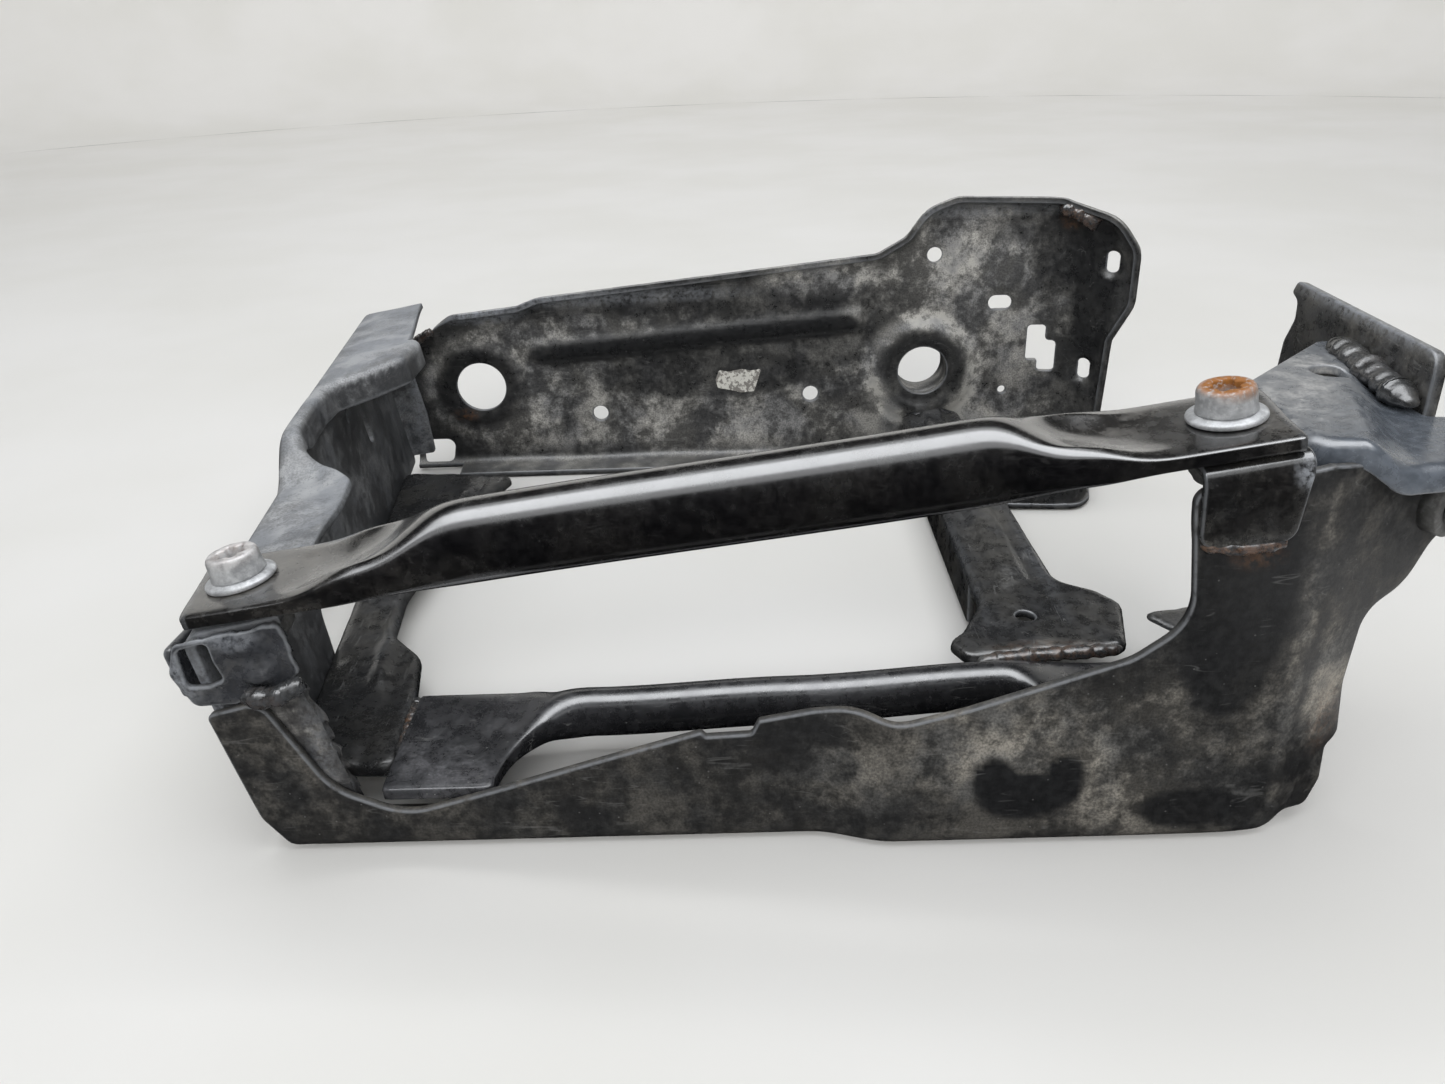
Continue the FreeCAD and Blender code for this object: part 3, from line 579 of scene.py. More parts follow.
BLACK = (0.0105, 0.0108, 0.0115)
SATIN = painted("satin_black", BLACK, 0.34, gloss=0.5, dust=(0.27, 0.25, 0.215), dust_2=(0.13, 0.127, 0.12),
                scratch=0.25)
HAMMERED = painted("hammered_black", (0.011, 0.0115, 0.0125), 0.25, hammer=0.2, up_dust=0.1,
                   scratch=0.6, run=1, gloss=0.8)
DUSTY = painted("dusty_black", (0.025, 0.026, 0.028), 0.38, up_dust=0.95, scratch=0.3, dust_amount=1.15,
                dust=(0.33, 0.337, 0.345), dust_2=(0.2, 0.21, 0.225), run=1)
REAR = painted("rear_plate_black", (0.011, 0.0113, 0.012), 0.3, up_dust=0.5, hammer=0.03,
               dust=(0.42, 0.41, 0.38), dust_2=(0.23, 0.23, 0.228), scratch=0.35, dust_amount=1.15, gloss=0.7)
GLOSS = painted("gloss_black", (0.0025, 0.0025, 0.003), 0.2, up_dust=0.05, dust_amount=0.9, edge_wear_and_highlight=0.3,
                peel=0.002, coat=1.0, scratch=0.06, dust=(0.15, 0.14, 0.125),
                dust_2=(0.08, 0.076, 0.07), gloss=0.8, lumps=0.008, coat_rough=0.16)
WELD = painted("painted_weld", (0.012, 0.0125, 0.0135), 0.22, up_dust=0.15, hammer=0.3,
               scratch=0.25, edge_wear_and_highlight=0.5, gloss=0.8)
ROUGH_SEAT = painted("rough_seat_black", (0.022, 0.024, 0.029), 0.25, hammer=0.22, up_dust=0.2,
                     scratch=0.3, edge_wear_and_highlight=1.0)
MOTTLED = painted("mottled_grey", (0.018, 0.018, 0.02), 0.4, hammer=0.5, up_dust=0.4, scratch=0.6,
                  dust=(0.3, 0.29, 0.27), dust_2=(0.04, 0.038, 0.036))
RAIL = painted("rail_black", (0.011, 0.0113, 0.0128), 0.24, up_dust=0.16, scratch=0.55, coat=0.8,
               dust=(0.17, 0.17, 0.183), dust_2=(0.085, 0.087, 0.095), gloss=0.8, edge_wear_and_highlight=0.35,
               lumps=0.02, coat_rough=0.18)
# Lit blue-grey paint, far lighter than the black elsewhere: a painted sheen for the overhead light that the
# leg top's smooth saddle reflects. Dust and scratches lie over it.
LEG_TOP_PAINTED_SHEEN = painted("leg_top_painted_sheen", (0.075, 0.085, 0.1), 0.24, up_dust=0.0, scratch=0.08,
                       dust_amount=1.1, dust=(0.34, 0.335, 0.325), dust_2=(0.22, 0.22, 0.22),
                       gloss=0.9, lumps=0.006, peel=0.004)
BRACKET_GLOSS = painted("bracket_gloss", (0.003, 0.003, 0.0034), 0.2, up_dust=0.04, coat=0.5, scratch=0.08,
                        edge_wear_and_highlight=0.5, lumps=0.02)
ZINC = plated("zinc_flake", (0.5, 0.51, 0.525), 0.42)
NUT = plated("dull_steel", (0.22, 0.22, 0.215), 0.48, metallic=0.6, bloom=0.15)


# ---- front side plate ----
FRONT_BEND = 4.0
CREASE_X = 285.0
LEG_ANGLE = math.radians(30)
FRONT_STEP = -5.5
BOLT_HOLE_R = 5.5
COLLAR_X, COLLAR_Z, COLLAR_R = 326.0, 96.0, 5.25
FLANGE_RUNS = ((6, 86), (96, 156), (176, 216), (226, 276))


def front_plane(x):
    """Plan line of the plate's shown face: a step to the front, then the turned leg."""
    return FRONT_STEP * smooth(153, 178, x) + math.tan(LEG_ANGLE) * ramp(x - CREASE_X, 7.0)


def place_front(uv):
    x, v = uv[:, 0], uv[:, 1]
    a = np.maximum(FRONT_BEND - v, 0) / FRONT_BEND
    angle = np.minimum(a, math.pi / 2)
    back = FRONT_BEND * (1 - np.cos(angle) + np.maximum(a - math.pi / 2, 0))
    z = np.where(v < FRONT_BEND, FRONT_BEND * (1 - np.sin(angle)), v)
    raised = smooth(8, 20, v) * smooth(180, 200, x) * (1 - smooth(256, 276, x))
    flat = smooth(3, 12, v)
    y = front_plane(x) + back - 0.9 * raised + flat * 0.22 * uneven(x, v, 85, 4, upright=True)
    y += flat * hill(x, v, 262, 104, 14, 10)
    return xyz(x, y, z)


def front_side_plate():
    low = -1.2
    deep = FRONT_BEND - (FRONT_BEND * math.pi / 2 + 13.0)
    corners = [(-1, low + 1, 3)]
    for x0, x1 in FLANGE_RUNS:
        corners += [(x0, low, 1), (x0 + 1.5, deep, 3), (x1 - 1.5, deep, 3), (x1, low, 1)]
    corners += [(284, low + 1, 8), (292, 6, 4), (301, 4, 3), (305, 12, 5), (304, 24, 2), (308, 27, 4),
                (305, 46, 20), (307, 68, 8), (321, 72, 14), (329, 84, 10), (338, 86, 2),
                (338, 110.2, 2), (312, 110.6, 0), (292, 115.5, 0), (284, 116.6, 0), (249, 112, 4),
                (254, 74, 20), (240, 63, 16), (197, 48, 20), (178, 42, 14), (166, 47, 16),
                (139, 42, 1.5), (137, 37.6, 1.5), (124, 37, 1), (122.6, 38.6, 1), (62, 20, 60),
                (34, 12, 20), (14, 22, 20), (-1, 53, 6), (-17, 49, 2), (-9, 12, 10)]
    squeeze = math.cos(LEG_ANGLE)
    hole = circle(COLLAR_X, COLLAR_Z, COLLAR_R) * [squeeze, 1] + [COLLAR_X * (1 - squeeze), 0]
    spots = [("dust", (218, -6, 34), (52, 30, 26), 1.0), ("dust", (262, -6, 44), (32, 30, 24), 0.75),
             ("dust", (165, -3, 24), (26, 20, 22), 0.5), ("dust", (299, 2, 50), (13, 30, 30), 1.0),
             ("dust", (246, -6, 18), (40, 20, 20), 0.8), ("dust", (5, 0, 30), (14, 9, 20), 0.3),
             ("dust", (268, -9, 92), (12, 6, 5), 0.7),
             ("clean", (266, -6, 80), (17, 16, 46), 0.95), ("clean", (214, -6, 18), (15, 14, 10), 1.0),
             ("clean", (225, -6, 23), (7, 14, 11), 1.0), ("clean", (205, -6, 24), (7, 14, 9), 1.0),
             ("clean", (262, -6, 12), (17, 14, 9), 0.95),
             # Narrow pale streak down the leg's rounded crease: a painted highlight, laid in as dust.
             ("dust", (286, -5, 60), (4.5, 9, 66), 0.85),
             ("rust", (300, 4, 36), (7, 20, 14), 0.12), ("rust", (268, -8, 93), (9, 9, 4), 0.2)]
    panel("front_side_plate_skin", loop(corners), place_front, SATIN, ["front_side_plate"],
          holes=[hole], spots=spots, base_dust=0.2,
          fine=([(-20, 1.9), (272, 1.2), (300, 1.9)], [(-17, 2.0), (-3, 0.9), (4.5, 1.9)]))


# ---- rear side plate ----
REAR_BEND = 5.0
REAR_TURN = math.tan(math.radians(42))
REAR_CREASE_X = 300.0
REAR_BOTTOM = REAR_BEND + SHEET + 0.15
REAR_BEND_LINE = loop([(-60, REAR_BOTTOM, 0), (314, REAR_BOTTOM, 3), (316, 67, 10), (323, 85.5, 8),
                       (323, 108, 6), (317, 117.7, 8), (295.5, 124, 10), (246, 126, 8),
                       (235, 122, 12), (226, 109.5, 12), (209, 100, 18), (38, 84, 10),
                       (27, 80, 8), (-13, 76, 8), (-60, 72, 0)], 2.0)


def rear_relief(x, z):
    """Height of the pressed shapes towards the front."""
    left = np.hypot(x - LEFT_BORE[0], z - LEFT_BORE[2])
    right = np.hypot(x - RIGHT_BORE[0], z - RIGHT_BORE[2])
    h = 2.8 * (1 - smooth(18.5, 25.5, left)) - 1.6 * (1 - smooth(12.5, 18.0, left))
    h += 4.4 * (1 - smooth(21.5, 29.5, right)) - 3.0 * (1 - smooth(15, 20.5, right))
    turn = math.radians(4.2)
    c, s = math.cos(turn), math.sin(turn)
    u, v = (x - 116) * c + (z - 68) * s, -(x - 116) * s + (z - 68) * c
    h += 3.2 * (1 - smooth(1.5, 8.5, np.hypot(np.maximum(np.abs(u) - 82, 0), v)))
    for cx, cz, depth, tall, inner, outer in ((318, 102, 3.0, 1.5, 2.6, 6.2), (311, 47, 3.0, 1.5, 2.6, 6.2),
                                              (270, 80, 1.1, 1, 5, 8), (236, 105, 1.1, 1, 4, 7)):
        h -= depth * (1 - smooth(inner, outer, np.hypot(x - cx, (z - cz) / tall)))
    return h + 0.3 * uneven(x, z, 70, 9, upright=True)


def place_rear(uv):
    plan, height = rolled(uv, REAR_BEND_LINE, REAR_BEND)
    x, z = plan[:, 0], plan[:, 1]
    slope = -REAR_TURN * 0.5 * (1 + (x - REAR_CREASE_X) / np.hypot(x - REAR_CREASE_X, 8.0))
    n = unit(np.stack([slope, -np.ones(len(x))], 1))
    calm = np.clip(1 - height / 2.0, 0, 1)
    h = height + calm * rear_relief(x, z)
    y = REAR_FACE_Y - REAR_TURN * ramp(x - REAR_CREASE_X, 8.0)
    return xyz(x + h * n[:, 0], y + h * n[:, 1], z)


def rear_side_plate():
    outer = offset(REAR_BEND_LINE, 9.0)
    rim = outer[(outer[:, 0] > -6) & (outer[:, 1] > 14)]
    deep = REAR_BOTTOM - (REAR_BEND * math.pi / 2 + 12)
    low = REAR_BOTTOM - 6.5
    ring = [(-37, low), (-13, low), (-12, deep), (246, deep), (247, low), (318, low), (321, 6)]
    outline = refine(ring + [tuple(p) for p in rim] + [(-13, 80), (-19, 76.5), (-26, 70), (-37, 66)])
    slot = 5.6 / math.sqrt(1 + REAR_TURN ** 2)
    holes = [circle(LEFT_BORE[0], LEFT_BORE[2], BORE_R, 64),
             circle(RIGHT_BORE[0], RIGHT_BORE[2], BORE_R, 64),
             circle(63, 28, 4), circle(174, 35, 4), circle(236, 105, 3.5), circle(274, 34, 2, 16),
             oblong(270, 80, 7, 11), oblong(318, 102, slot, 9.6, 90), oblong(311, 47, slot, 9.6, 90),
             loop([(-34, 4, 3), (-18.5, 4, 3), (-16, 16, 4), (-34, 16, 4)]),
             loop([(285, 50, 1.5), (291, 50, 1.5), (291, 44, 2), (299, 44, 2), (299, 60, 2),
                   (294, 60, 2), (294, 68, 2), (285, 68, 2)])]
    y = REAR_FACE_Y
    spots = [("dust", (120, y, 40), (160, 20, 42), 0.6), ("dust", (255, y, 100), (60, 20, 34), 1.0),
             ("dust", (60, y, 70), (90, 20, 14), 0.8), ("dust", (20, y, 36), (48, 20, 34), 0.85),
             ("dust", (275, y, 70), (40, 20, 50), 0.7), ("dust", (262, y, 22), (60, 20, 20), 0.8),
             ("dust", (118, y, 18), (150, 20, 15), 0.8), ("dust", (190, y, 96), (50, 20, 13), 0.95),
             ("dust", (205, y, 50), (40, 20, 40), 0.6)]
    spots += [("clean", (x, y, 67 + (x - 116) * 0.073), (18, 14, 7.5), 0.95) for x in range(44, 196, 14)]
    spots += [("clean", (120, y, 48), (60, 14, 15), 0.75), ("clean", (180, y, 62), (40, 14, 16), 0.6),
              ("clean", (RIGHT_BORE[0], y, RIGHT_BORE[2]), (27, 14, 27), 0.7),
              ("clean", (LEFT_BORE[0], y, LEFT_BORE[2]), (25, 14, 25), 0.9),
              # Pale rings round the bore dishes: partly dust, partly a painted highlight on the dishes' outer
              # slopes.
              ("ring", (RIGHT_BORE[0], y, RIGHT_BORE[2]), (27.5, 60, 27.5), 1.7),
              ("ring", (LEFT_BORE[0], y, LEFT_BORE[2]), (26.5, 60, 26.5), 0.9),
              ("clean", (276, y, 116), (22, 20, 8), 0.5), ("clean", (296, y, 104), (15, 20, 22), 0.7),
              ("clean", (314, y - 12, 90), (12, 12, 50), 0.8),
              ("rust", (-8, y, 30), (8, 9, 4), 0.35), ("rust", (302, y, 120), (7, 12, 5), 0.25),
              ("bare", (60, y - 4, 90), (110, 9, 6), 0.6), ("bare", (5, y - 4, 84), (30, 9, 8), 0.8),
              ("bare", (250, y - 6, 126), (80, 9, 5), 0.4)]
    panel("rear_side_plate_skin", outline, place_rear, REAR,
          ["rear_side_plate"], holes=holes, spots=spots, base_dust=0.16, pitch=2.2,
          fine=([(-40, 2.1), (292, 1.4)], [(-14, 2.2), (-1, 1.2), (9, 2.1), (66, 1.6)]))
    blank_label()


def blank_label():
    """Plain pale remnant of a sticker, with torn edges."""
    corners = [(125.5, 40, 1), (134.5, 38, 2), (137.5, 37, 1), (144.5, 37.5, 1), (146.5, 43.5, 1),
               (148.5, 49.5, 1), (142.5, 48.7, 1), (138.5, 49.8, 1), (131.5, 48.5, 1), (126.5, 49.5, 1),
               (124.5, 44.5, 1)]

    def place(uv):
        return place_rear(uv) - [0, 0.12, 0]

    k = Look("plain_label")
    torn = k.spread(k.noise(2.6, 5.0, 0.7), 0.47, 0.53)
    k.put(k.shader.inputs["Base Color"], k.mix(torn, (0.55, 0.54, 0.5), (0.2, 0.19, 0.175)))
    k.put(k.shader.inputs["Roughness"], k.spread(torn, 0.0, 1.0, 0.55, 0.8))
    k.bumps([(torn, 0.06)])
    panel("blank_label", loop(corners, 1.0), place, k.material,
          thick=0.1, edge=0.04, pitch=2.0)


def rear_bore_collar():
    lathe("rear_bore_collar_skin", RIGHT_BORE * [1, 0, 1] + [0, REAR_FACE_Y + SHEET, 0], (0, 1, 0),
          [(12.5, -0.4), (12.5, 15), (13.5, 16), (15.5, 16), (16.5, 15), (16.5, 0)],
          REAR, ["rear_bore_collar"], base_dust=0.6)


def lathe(name, centre, axis, profile, material, nodes=(), body="frame", spots=(),
          base_dust=0.2):
    """Ring turned from a closed (radius, height) profile round an axis."""
    axis = unit(axis)
    side = unit(np.cross(axis, (0.3, 0.2, 1.0) if abs(axis[2]) < 0.9 else (1.0, 0.1, 0.0)))
    other = np.cross(axis, side)
    angles = np.arange(72) * math.pi / 36
    around = np.cos(angles)[:, None] * side + np.sin(angles)[:, None] * other
    rings = [np.asarray(centre) + around * r + axis * h for r, h in profile]
    tube(name, rings, body, material, nodes, spots, base_dust, closed=True)


# ---- left end ----
TILT = math.acos(LIFT[2])
MEMBER_YAW = math.radians(6)
MEMBER_LOW, MEMBER_HIGH = 74.2, 87.5
MEMBER_FOOT = np.array([-8.0, 0.0, 0.0])


def member_axes():
    c, s = math.cos(TILT), math.sin(TILT)
    lean = np.array([[c, 0, -s], [0, 1, 0], [s, 0, c]])
    c, s = math.cos(MEMBER_YAW), math.sin(MEMBER_YAW)
    yaw = np.array([[c, -s, 0], [s, c, 0], [0, 0, 1]])
    return yaw @ lean


def member_place(points):
    """From the left member's own leaning axes to the design axes."""
    return np.asarray(points, float) @ member_axes().T + MEMBER_FOOT


def curve(t, stops):
    """Smooth value through (place, value) stops."""
    places = [p for p, _ in stops]
    values = [v for _, v in stops]
    t = np.asarray(t, float)
    result = np.full(t.shape, float(values[0]))
    for (a, va), (b, vb) in zip(stops, stops[1:]):
        result = np.where(t >= a, va + (vb - va) * smooth(a, b, t), result)
    return np.where(t >= places[-1], values[-1], result)


TOP_STOPS = ((104, MEMBER_LOW), (134, MEMBER_HIGH))
WIDTH_STOPS = ((4, 28), (60, 28), (100, 29), (127, 9), (140, 7.5), (165, 7.5), (179, 9), (200, 38.5),
               (226, 40), (300, 36))
FOLD_STOPS = ((108, 0.0), (137, 1.0))
HANG_STOPS = ((112, 1.0), (130, 8.0), (142, 12.0), (300, 12.0))
MEMBER_BEND = 5.0
LIP_BEND = 3.5


def member_radii(t):
    width = curve(t, WIDTH_STOPS)
    share = np.minimum(1.0, width / (MEMBER_BEND + LIP_BEND))
    return width, MEMBER_BEND * share, LIP_BEND * share


def member_free_edge(t):
    """How far the sheet reaches beyond the web's top bend, unrolled."""
    width, r1, r2 = member_radii(t)
    flat = r1 * math.pi / 2 + width - r1 - r2
    fold = curve(t, FOLD_STOPS)
    reach = flat + r2 + fold * (r2 * (math.pi / 2 - 1) + curve(t, HANG_STOPS) - r2)
    return np.where(t > 228, flat - 1.0, reach)


def place_member(uv):
    """(along, unrolled height over the web's top tangent) to the design axes.

    The shown face is the outer one on the web and the upper one on the flange."""
    t, s = uv[:, 0], uv[:, 1]
    width, r1, r2 = member_radii(t)
    top = curve(t, TOP_STOPS)
    a1 = np.clip(s / r1, 0, math.pi / 2)
    straight = np.clip(s - r1 * math.pi / 2, 0, width - r1 - r2)
    after = np.maximum(s - r1 * math.pi / 2 - (width - r1 - r2), 0)
    fold = curve(t, FOLD_STOPS) * math.pi / 2
    a2 = np.minimum(after / r2, fold)
    hang = after - a2 * r2
    x = r1 * (1 - np.cos(a1)) + straight + r2 * np.sin(a2) + hang * np.cos(fold)
    z = top - r1 + np.minimum(s, 0) + r1 * np.sin(a1) - r2 * (1 - np.cos(a2)) - hang * np.sin(fold)
    z = z + 0.5 * smooth(4, 20, s) * uneven(t, x, 46, 21)
    z = z - 1.2 * hill(t, x, 96, 16, 9, 7) - 1.6 * hill(t, x, 84, 24, 26, 9) * smooth(10, 20, x)
    z = z + hill(t, x, 106, 22, 12, 8)
    ribs = hill(t, s, 262, -40, 5, 44) + hill(t, s, 283, -40, 4, 40)
    dents = smooth(0, -12, s) * (1 - smooth(255, 285, t)) * uneven(t, s, 60, 31, upright=True)
    x = x + 0.8 * ribs + 0.35 * dents
    return member_place(xyz(x, t, z))


def left_end_member():
    along = np.arange(298.6, 4.0, -1.5)
    top = [(t, s) for t, s in zip(along, member_free_edge(along))] + [(4.0, float(member_free_edge(4.0)))]
    web = loop([(4, 6, 4), (94, 6, 6), (99, 33, 10), (146, 27, 16), (172, 17, 8), (179, 6, 4), (298.6, 6, 4),
                (298.6, 150, 0), (4, 150, 0)], 1.8)
    web = web[web[:, 1] < 60]
    rise = curve(web[:, 0], TOP_STOPS) - member_radii(web[:, 0])[1]
    low = np.stack([web[:, 0], web[:, 1] - rise], 1)
    start = int(np.argmin(np.hypot(web[:, 0] - 4, web[:, 1] - 60)))
    low = np.roll(low, -start, 0)
    if low[0, 0] > low[-1, 0]:
        low = low[::-1]
    outline = refine([tuple(p) for p in low] + top, 1.8)
    height = MEMBER_HIGH - MEMBER_BEND
    bolt = member_unrolled(LEFT_BOLT)
    holes = [circle(*bolt, BOLT_HOLE_R), oblong(212, 66 - height, 2.4, 10, 64),
             oblong(234, 49 - height, 6, 12, 90)]
    spots = placed_spots(member_point, [
        ("dust", (60, 14, 76), (60, 80, 7), 0.8), ("dust", (105, 16, 76), (34, 26, 7), 0.8),
        ("dust", (250, 16, 89), (60, 70, 5), 1.0), ("dust", (215, 0, 40), (30, 90, 40), 0.45),
        ("dust", (40, 0, 40), (20, 50, 34), 0.2), ("bare", (250, 22, 88), (40, 62, 4), 0.55),
        ("bare", (88, 26, 74), (13, 26, 8), 0.4), ("bare", (6, 0, 40), (8, 5, 60), 0.7)])
    panel("left_end_member_skin", outline, place_member, DUSTY, ["left_end_member"], holes=holes,
          flip=True, spots=spots, base_dust=0.32, pitch=2.0,
          fine=(None, [(-85, 2.1), (-3, 1.1), (10, 2.0)]))

    def tail(uv):
        u, v = uv[:, 0], uv[:, 1]
        a = np.clip(u / 3.0, 0, math.pi / 2)
        more = np.maximum(u - 3.0 * math.pi / 2, 0)
        return member_place(xyz(1.4 + 3 * (1 - np.cos(a)) + more, 294 + 3 * np.sin(a), v))

    panel("left_member_tail", loop([(0, 10, 1), (15, 9, 2), (17, 30, 6), (16, 82, 3), (0, 83, 1)]), tail,
          DUSTY, thick=2.6, base_dust=0.6, spots=[("bare", member_point(298, 16, 50), (4, 8, 50), 0.8)])


def member_point(t, x, z):
    return tuple(member_place(np.array([[x, t, z]]))[0])


def placed_spots(place, spots):
    """Spots whose centres are given in a piece's own axes."""
    return [(kind, place(*centre), size, amount) for kind, centre, size, amount in spots]


def member_unrolled(point):
    """(along, unrolled) place of a point over the low flange."""
    own = (np.asarray(point) - MEMBER_FOOT) @ member_axes()
    return own[1], own[0] + MEMBER_BEND * (math.pi / 2 - 1)


def left_seat():
    """Rough welded bracket with its window, over the front end of the left member."""
    top = MEMBER_LOW - 0.2
    outline = loop([(-3, 53, 3), (8, 51, 3), (14, 52, 2), (25, 54, 3), (28.5, 57, 2), (28, top - 1, 2),
                    (-1.5, top, 3), (-6, 64.5, 4)], 1.2)
    window = loop([(-2.2, 60, 1.8), (3.5, 59, 2), (8.2, 60, 1.5), (7.4, 66, 4), (7.8, top - 1.8, 1.5),
                   (-0.8, top - 2.2, 2)], 0.8)

    def place(uv):
        x, z = uv[:, 0], uv[:, 1]
        out = 2.6 * hill(x, z, 18, 59.5, 8, 5) + 2.6 * hill(x, z, 17.5, 68.5, 8, 4.5)
        out = out + 0.7 * waves(xyz(x, 0, z), 9, 5) * smooth(9, 13, x)
        out = out + 0.9 * np.exp(-np.maximum(nearest(uv, window)[0] - 1.0, 0) / 1.3)
        return member_place(xyz(x, 1.6 - out, z))

    spots = placed_spots(member_point, [
        ("bare", (1, -3, 64), (7, 9, 12), 0.6), ("bare", (1, 12, 72), (12, 9, 4), 0.45),
        ("dust", (1, 22, 60), (12, 9, 12), 0.5)])
    panel("left_seat_bracket_skin", outline, place, ROUGH_SEAT, ["left_seat_bracket"],
          holes=[window], thick=2.6, pitch=1.2, edge=0.9, spots=spots)

    def place_side(uv):
        return member_place(xyz(-5.2 + 0.22 * uv[:, 0], uv[:, 0] + 2.2, uv[:, 1]))

    side = loop([(0, 56, 2), (13, 56, 2), (13, top - 2, 2), (0, top - 2, 2)], 1.5)
    panel("left_seat_return", side, place_side, ROUGH_SEAT, thick=2.4, flip=True, pitch=3.0)

    strip = loop([(-9, 51, 1), (9, 56, 1.5), (13.5, 43, 8), (16.5, 28, 8), (20, 10, 1.5), (13, 8.5, 1),
                  (6, 24, 10), (0, 36, 8)], 1.2)

    def place_strip(uv):
        x, z = uv[:, 0], uv[:, 1]
        return xyz(x, 3.3 - 0.45 * waves(xyz(x, 0, z), 7, 15), z)

    panel("left_corner_gusset_skin", strip, place_strip, MOTTLED, ["left_corner_gusset"],
          thick=2.6, pitch=1.3,
          spots=[("bare", (12, 3, 32), (5, 9, 30), 0.25), ("dust", (8, 3, 32), (14, 9, 30), 0.8)])


def weld(name, path, radius, nodes=(), flat=0.75, ripple=2.1, seed=1, rust=0.4):
    """Ripply bead swept along a path of points."""
    path = np.asarray(path, float)
    cuts = np.concatenate([[0], np.cumsum(np.linalg.norm(np.diff(path, axis=0), axis=1))])
    count = max(12, int(cuts[-1] / 0.45))
    s = np.linspace(0, cuts[-1], count)
    centre = np.stack([np.interp(s, cuts, path[:, k]) for k in range(3)], 1)
    along = unit(np.gradient(centre, axis=0))
    rng = np.random.default_rng(seed)
    wobble = sum(rng.uniform(0.4, 1.0) * np.sin(s * 2 * math.pi / w + rng.uniform(0, 6.28))
                 for w in (5.0, 8.5, 14.0)) / 3.0
    rings = []
    angles = np.arange(20) * math.pi / 10
    for i in range(count):
        ends = math.sqrt(max(0.02, 1 - (2 * s[i] / cuts[-1] - 1) ** 8))
        phase = (s[i] / ripple) % 1.0
        r = radius * (1 + 0.26 * wobble[i] + 0.1 * (1 - abs(2 * phase - 1))) * ends
        side = unit(np.cross(along[i], (0, 0, 1) if abs(along[i][2]) < 0.9 else (0, 1, 0)))
        up = np.cross(side, along[i])
        lean = 0.35 * r * np.sin(angles) ** 2 * (1 if phase < 0.5 else 0.4)
        rings.append(centre[i] + (np.cos(angles) * r)[:, None] * side
                     + (np.sin(angles) * r * flat)[:, None] * up + lean[:, None] * along[i])
    middle = path.mean(0)
    spots = [("rust", middle, (30, 12, 12), rust), ("bare", middle, (50, 20, 20), 0.12)]
    tube(name, rings, "frame", WELD, nodes, spots, 0.15)


def welds():
    weld("left_seat_weld_low", [(-4.0, -1.0, 57.0), (2, -2.4, 56.2), (9, -2.4, 57.5)], 3.6,
         ["left_seat_welds"], seed=3, rust=0.04, ripple=7.0)
    weld("left_seat_weld_blob", [(5, -2.0, 57.0), (9, -1.4, 58), (13, 0.0, 59.5)], 3.3,
         seed=8, rust=0.0, ripple=8.0)
    front = float(front_plane(263.0)) - 1.2
    weld("right_seat_weld", [(252, front, 97), (262, front - 0.6, 96.2), (274, front, 97.2)], 2.3,
         ["right_seat_welds"], seed=5, rust=0.25, ripple=4.0)
    weld("leg_top_weld_run", [(325.0, 37, 116.5), (324.2, 52, 118.5), (324.8, 68, 119.5), (324.4, 85, 121)],
         4.6, ["leg_top_welds"], seed=6, ripple=17.0, rust=0.03)
    weld("cross_weld_right", [(214, 60.2, 21.6), (230, 61.8, 22.2), (248, 63.2, 22.2), (264, 64.6, 22)], 2.8,
         ["cross_member_welds"], seed=7, rust=0.28, ripple=11.0)
    weld("cross_weld_left", [(26.4, 24, 15.6), (25.6, 40, 16), (24.6, 56, 16)], 1.8, seed=9)
    weld("rear_corner_weld_right",
         [(294, 297.5, 126.5), (300, 296.5, 126), (306, 293.5, 123.5), (311, 289.5, 119.5)], 4.8,
         ["rear_corner_welds"], seed=10, ripple=8.0, rust=0.22)
    weld("rear_corner_weld_left", [(-30, 300.5, 69.5), (-25, 300, 73), (-19, 300.4, 76)], 2.8,
         seed=11, rust=0.15)


# ---- lower members ----
def ring_yz(x, y, z, width, height, power, steps=56):
    """Closed ring across X: round with power 2, boxy with a high power."""
    a = 2 * math.pi * (np.arange(steps) + 0.5) / steps
    u = np.sign(np.cos(a)) * np.abs(np.cos(a)) ** (2 / power) * width / 2
    v = np.sign(np.sin(a)) * np.abs(np.sin(a)) ** (2 / power) * height / 2
    return xyz(float(x), y + u, z + v)


def eased(stations, pitch=2.0):
    """Numbers per station, eased between neighbours."""
    rows = []
    for a, b in zip(stations, stations[1:]):
        a, b = np.array(a, float), np.array(b, float)
        count = max(1, int(round((b[0] - a[0]) / pitch)))
        for j in range(count):
            t = j / count
            row = a + (b - a) * (t * t * (3 - 2 * t))
            row[0] = a[0] + (b[0] - a[0]) * t
            rows.append(row)
    rows.append(np.array(stations[-1], float))
    return rows


def softened(rows, reach):
    """Stations averaged with their neighbours along X; the ends stay."""
    rows = np.array(rows, float)
    kernel = np.hanning(2 * reach + 3)[1:-1]
    kernel /= kernel.sum()
    padded = np.concatenate([np.repeat(rows[:1], reach, 0), rows, np.repeat(rows[-1:], reach, 0)])
    result = np.stack([np.convolve(padded[:, k], kernel, "valid") for k in range(rows.shape[1])], 1)
    result[:, 0] = rows[:, 0]
    return result


def capped(rings, inset=0.8):
    """Rounded ends for a list of rings along their own axis."""
    def shrink(ring, other, amount, out):
        middle = ring.mean(0)
        return ring - unit(ring - middle) * amount + unit(middle - other.mean(0)) * out

    start, end = ([shrink(ring, other, inset, 0), shrink(ring, other, inset * 0.2, -inset * 0.5)]
                  for ring, other in (rings[:2], rings[:-3:-1]))
    return start + rings[1:-1] + end[::-1]


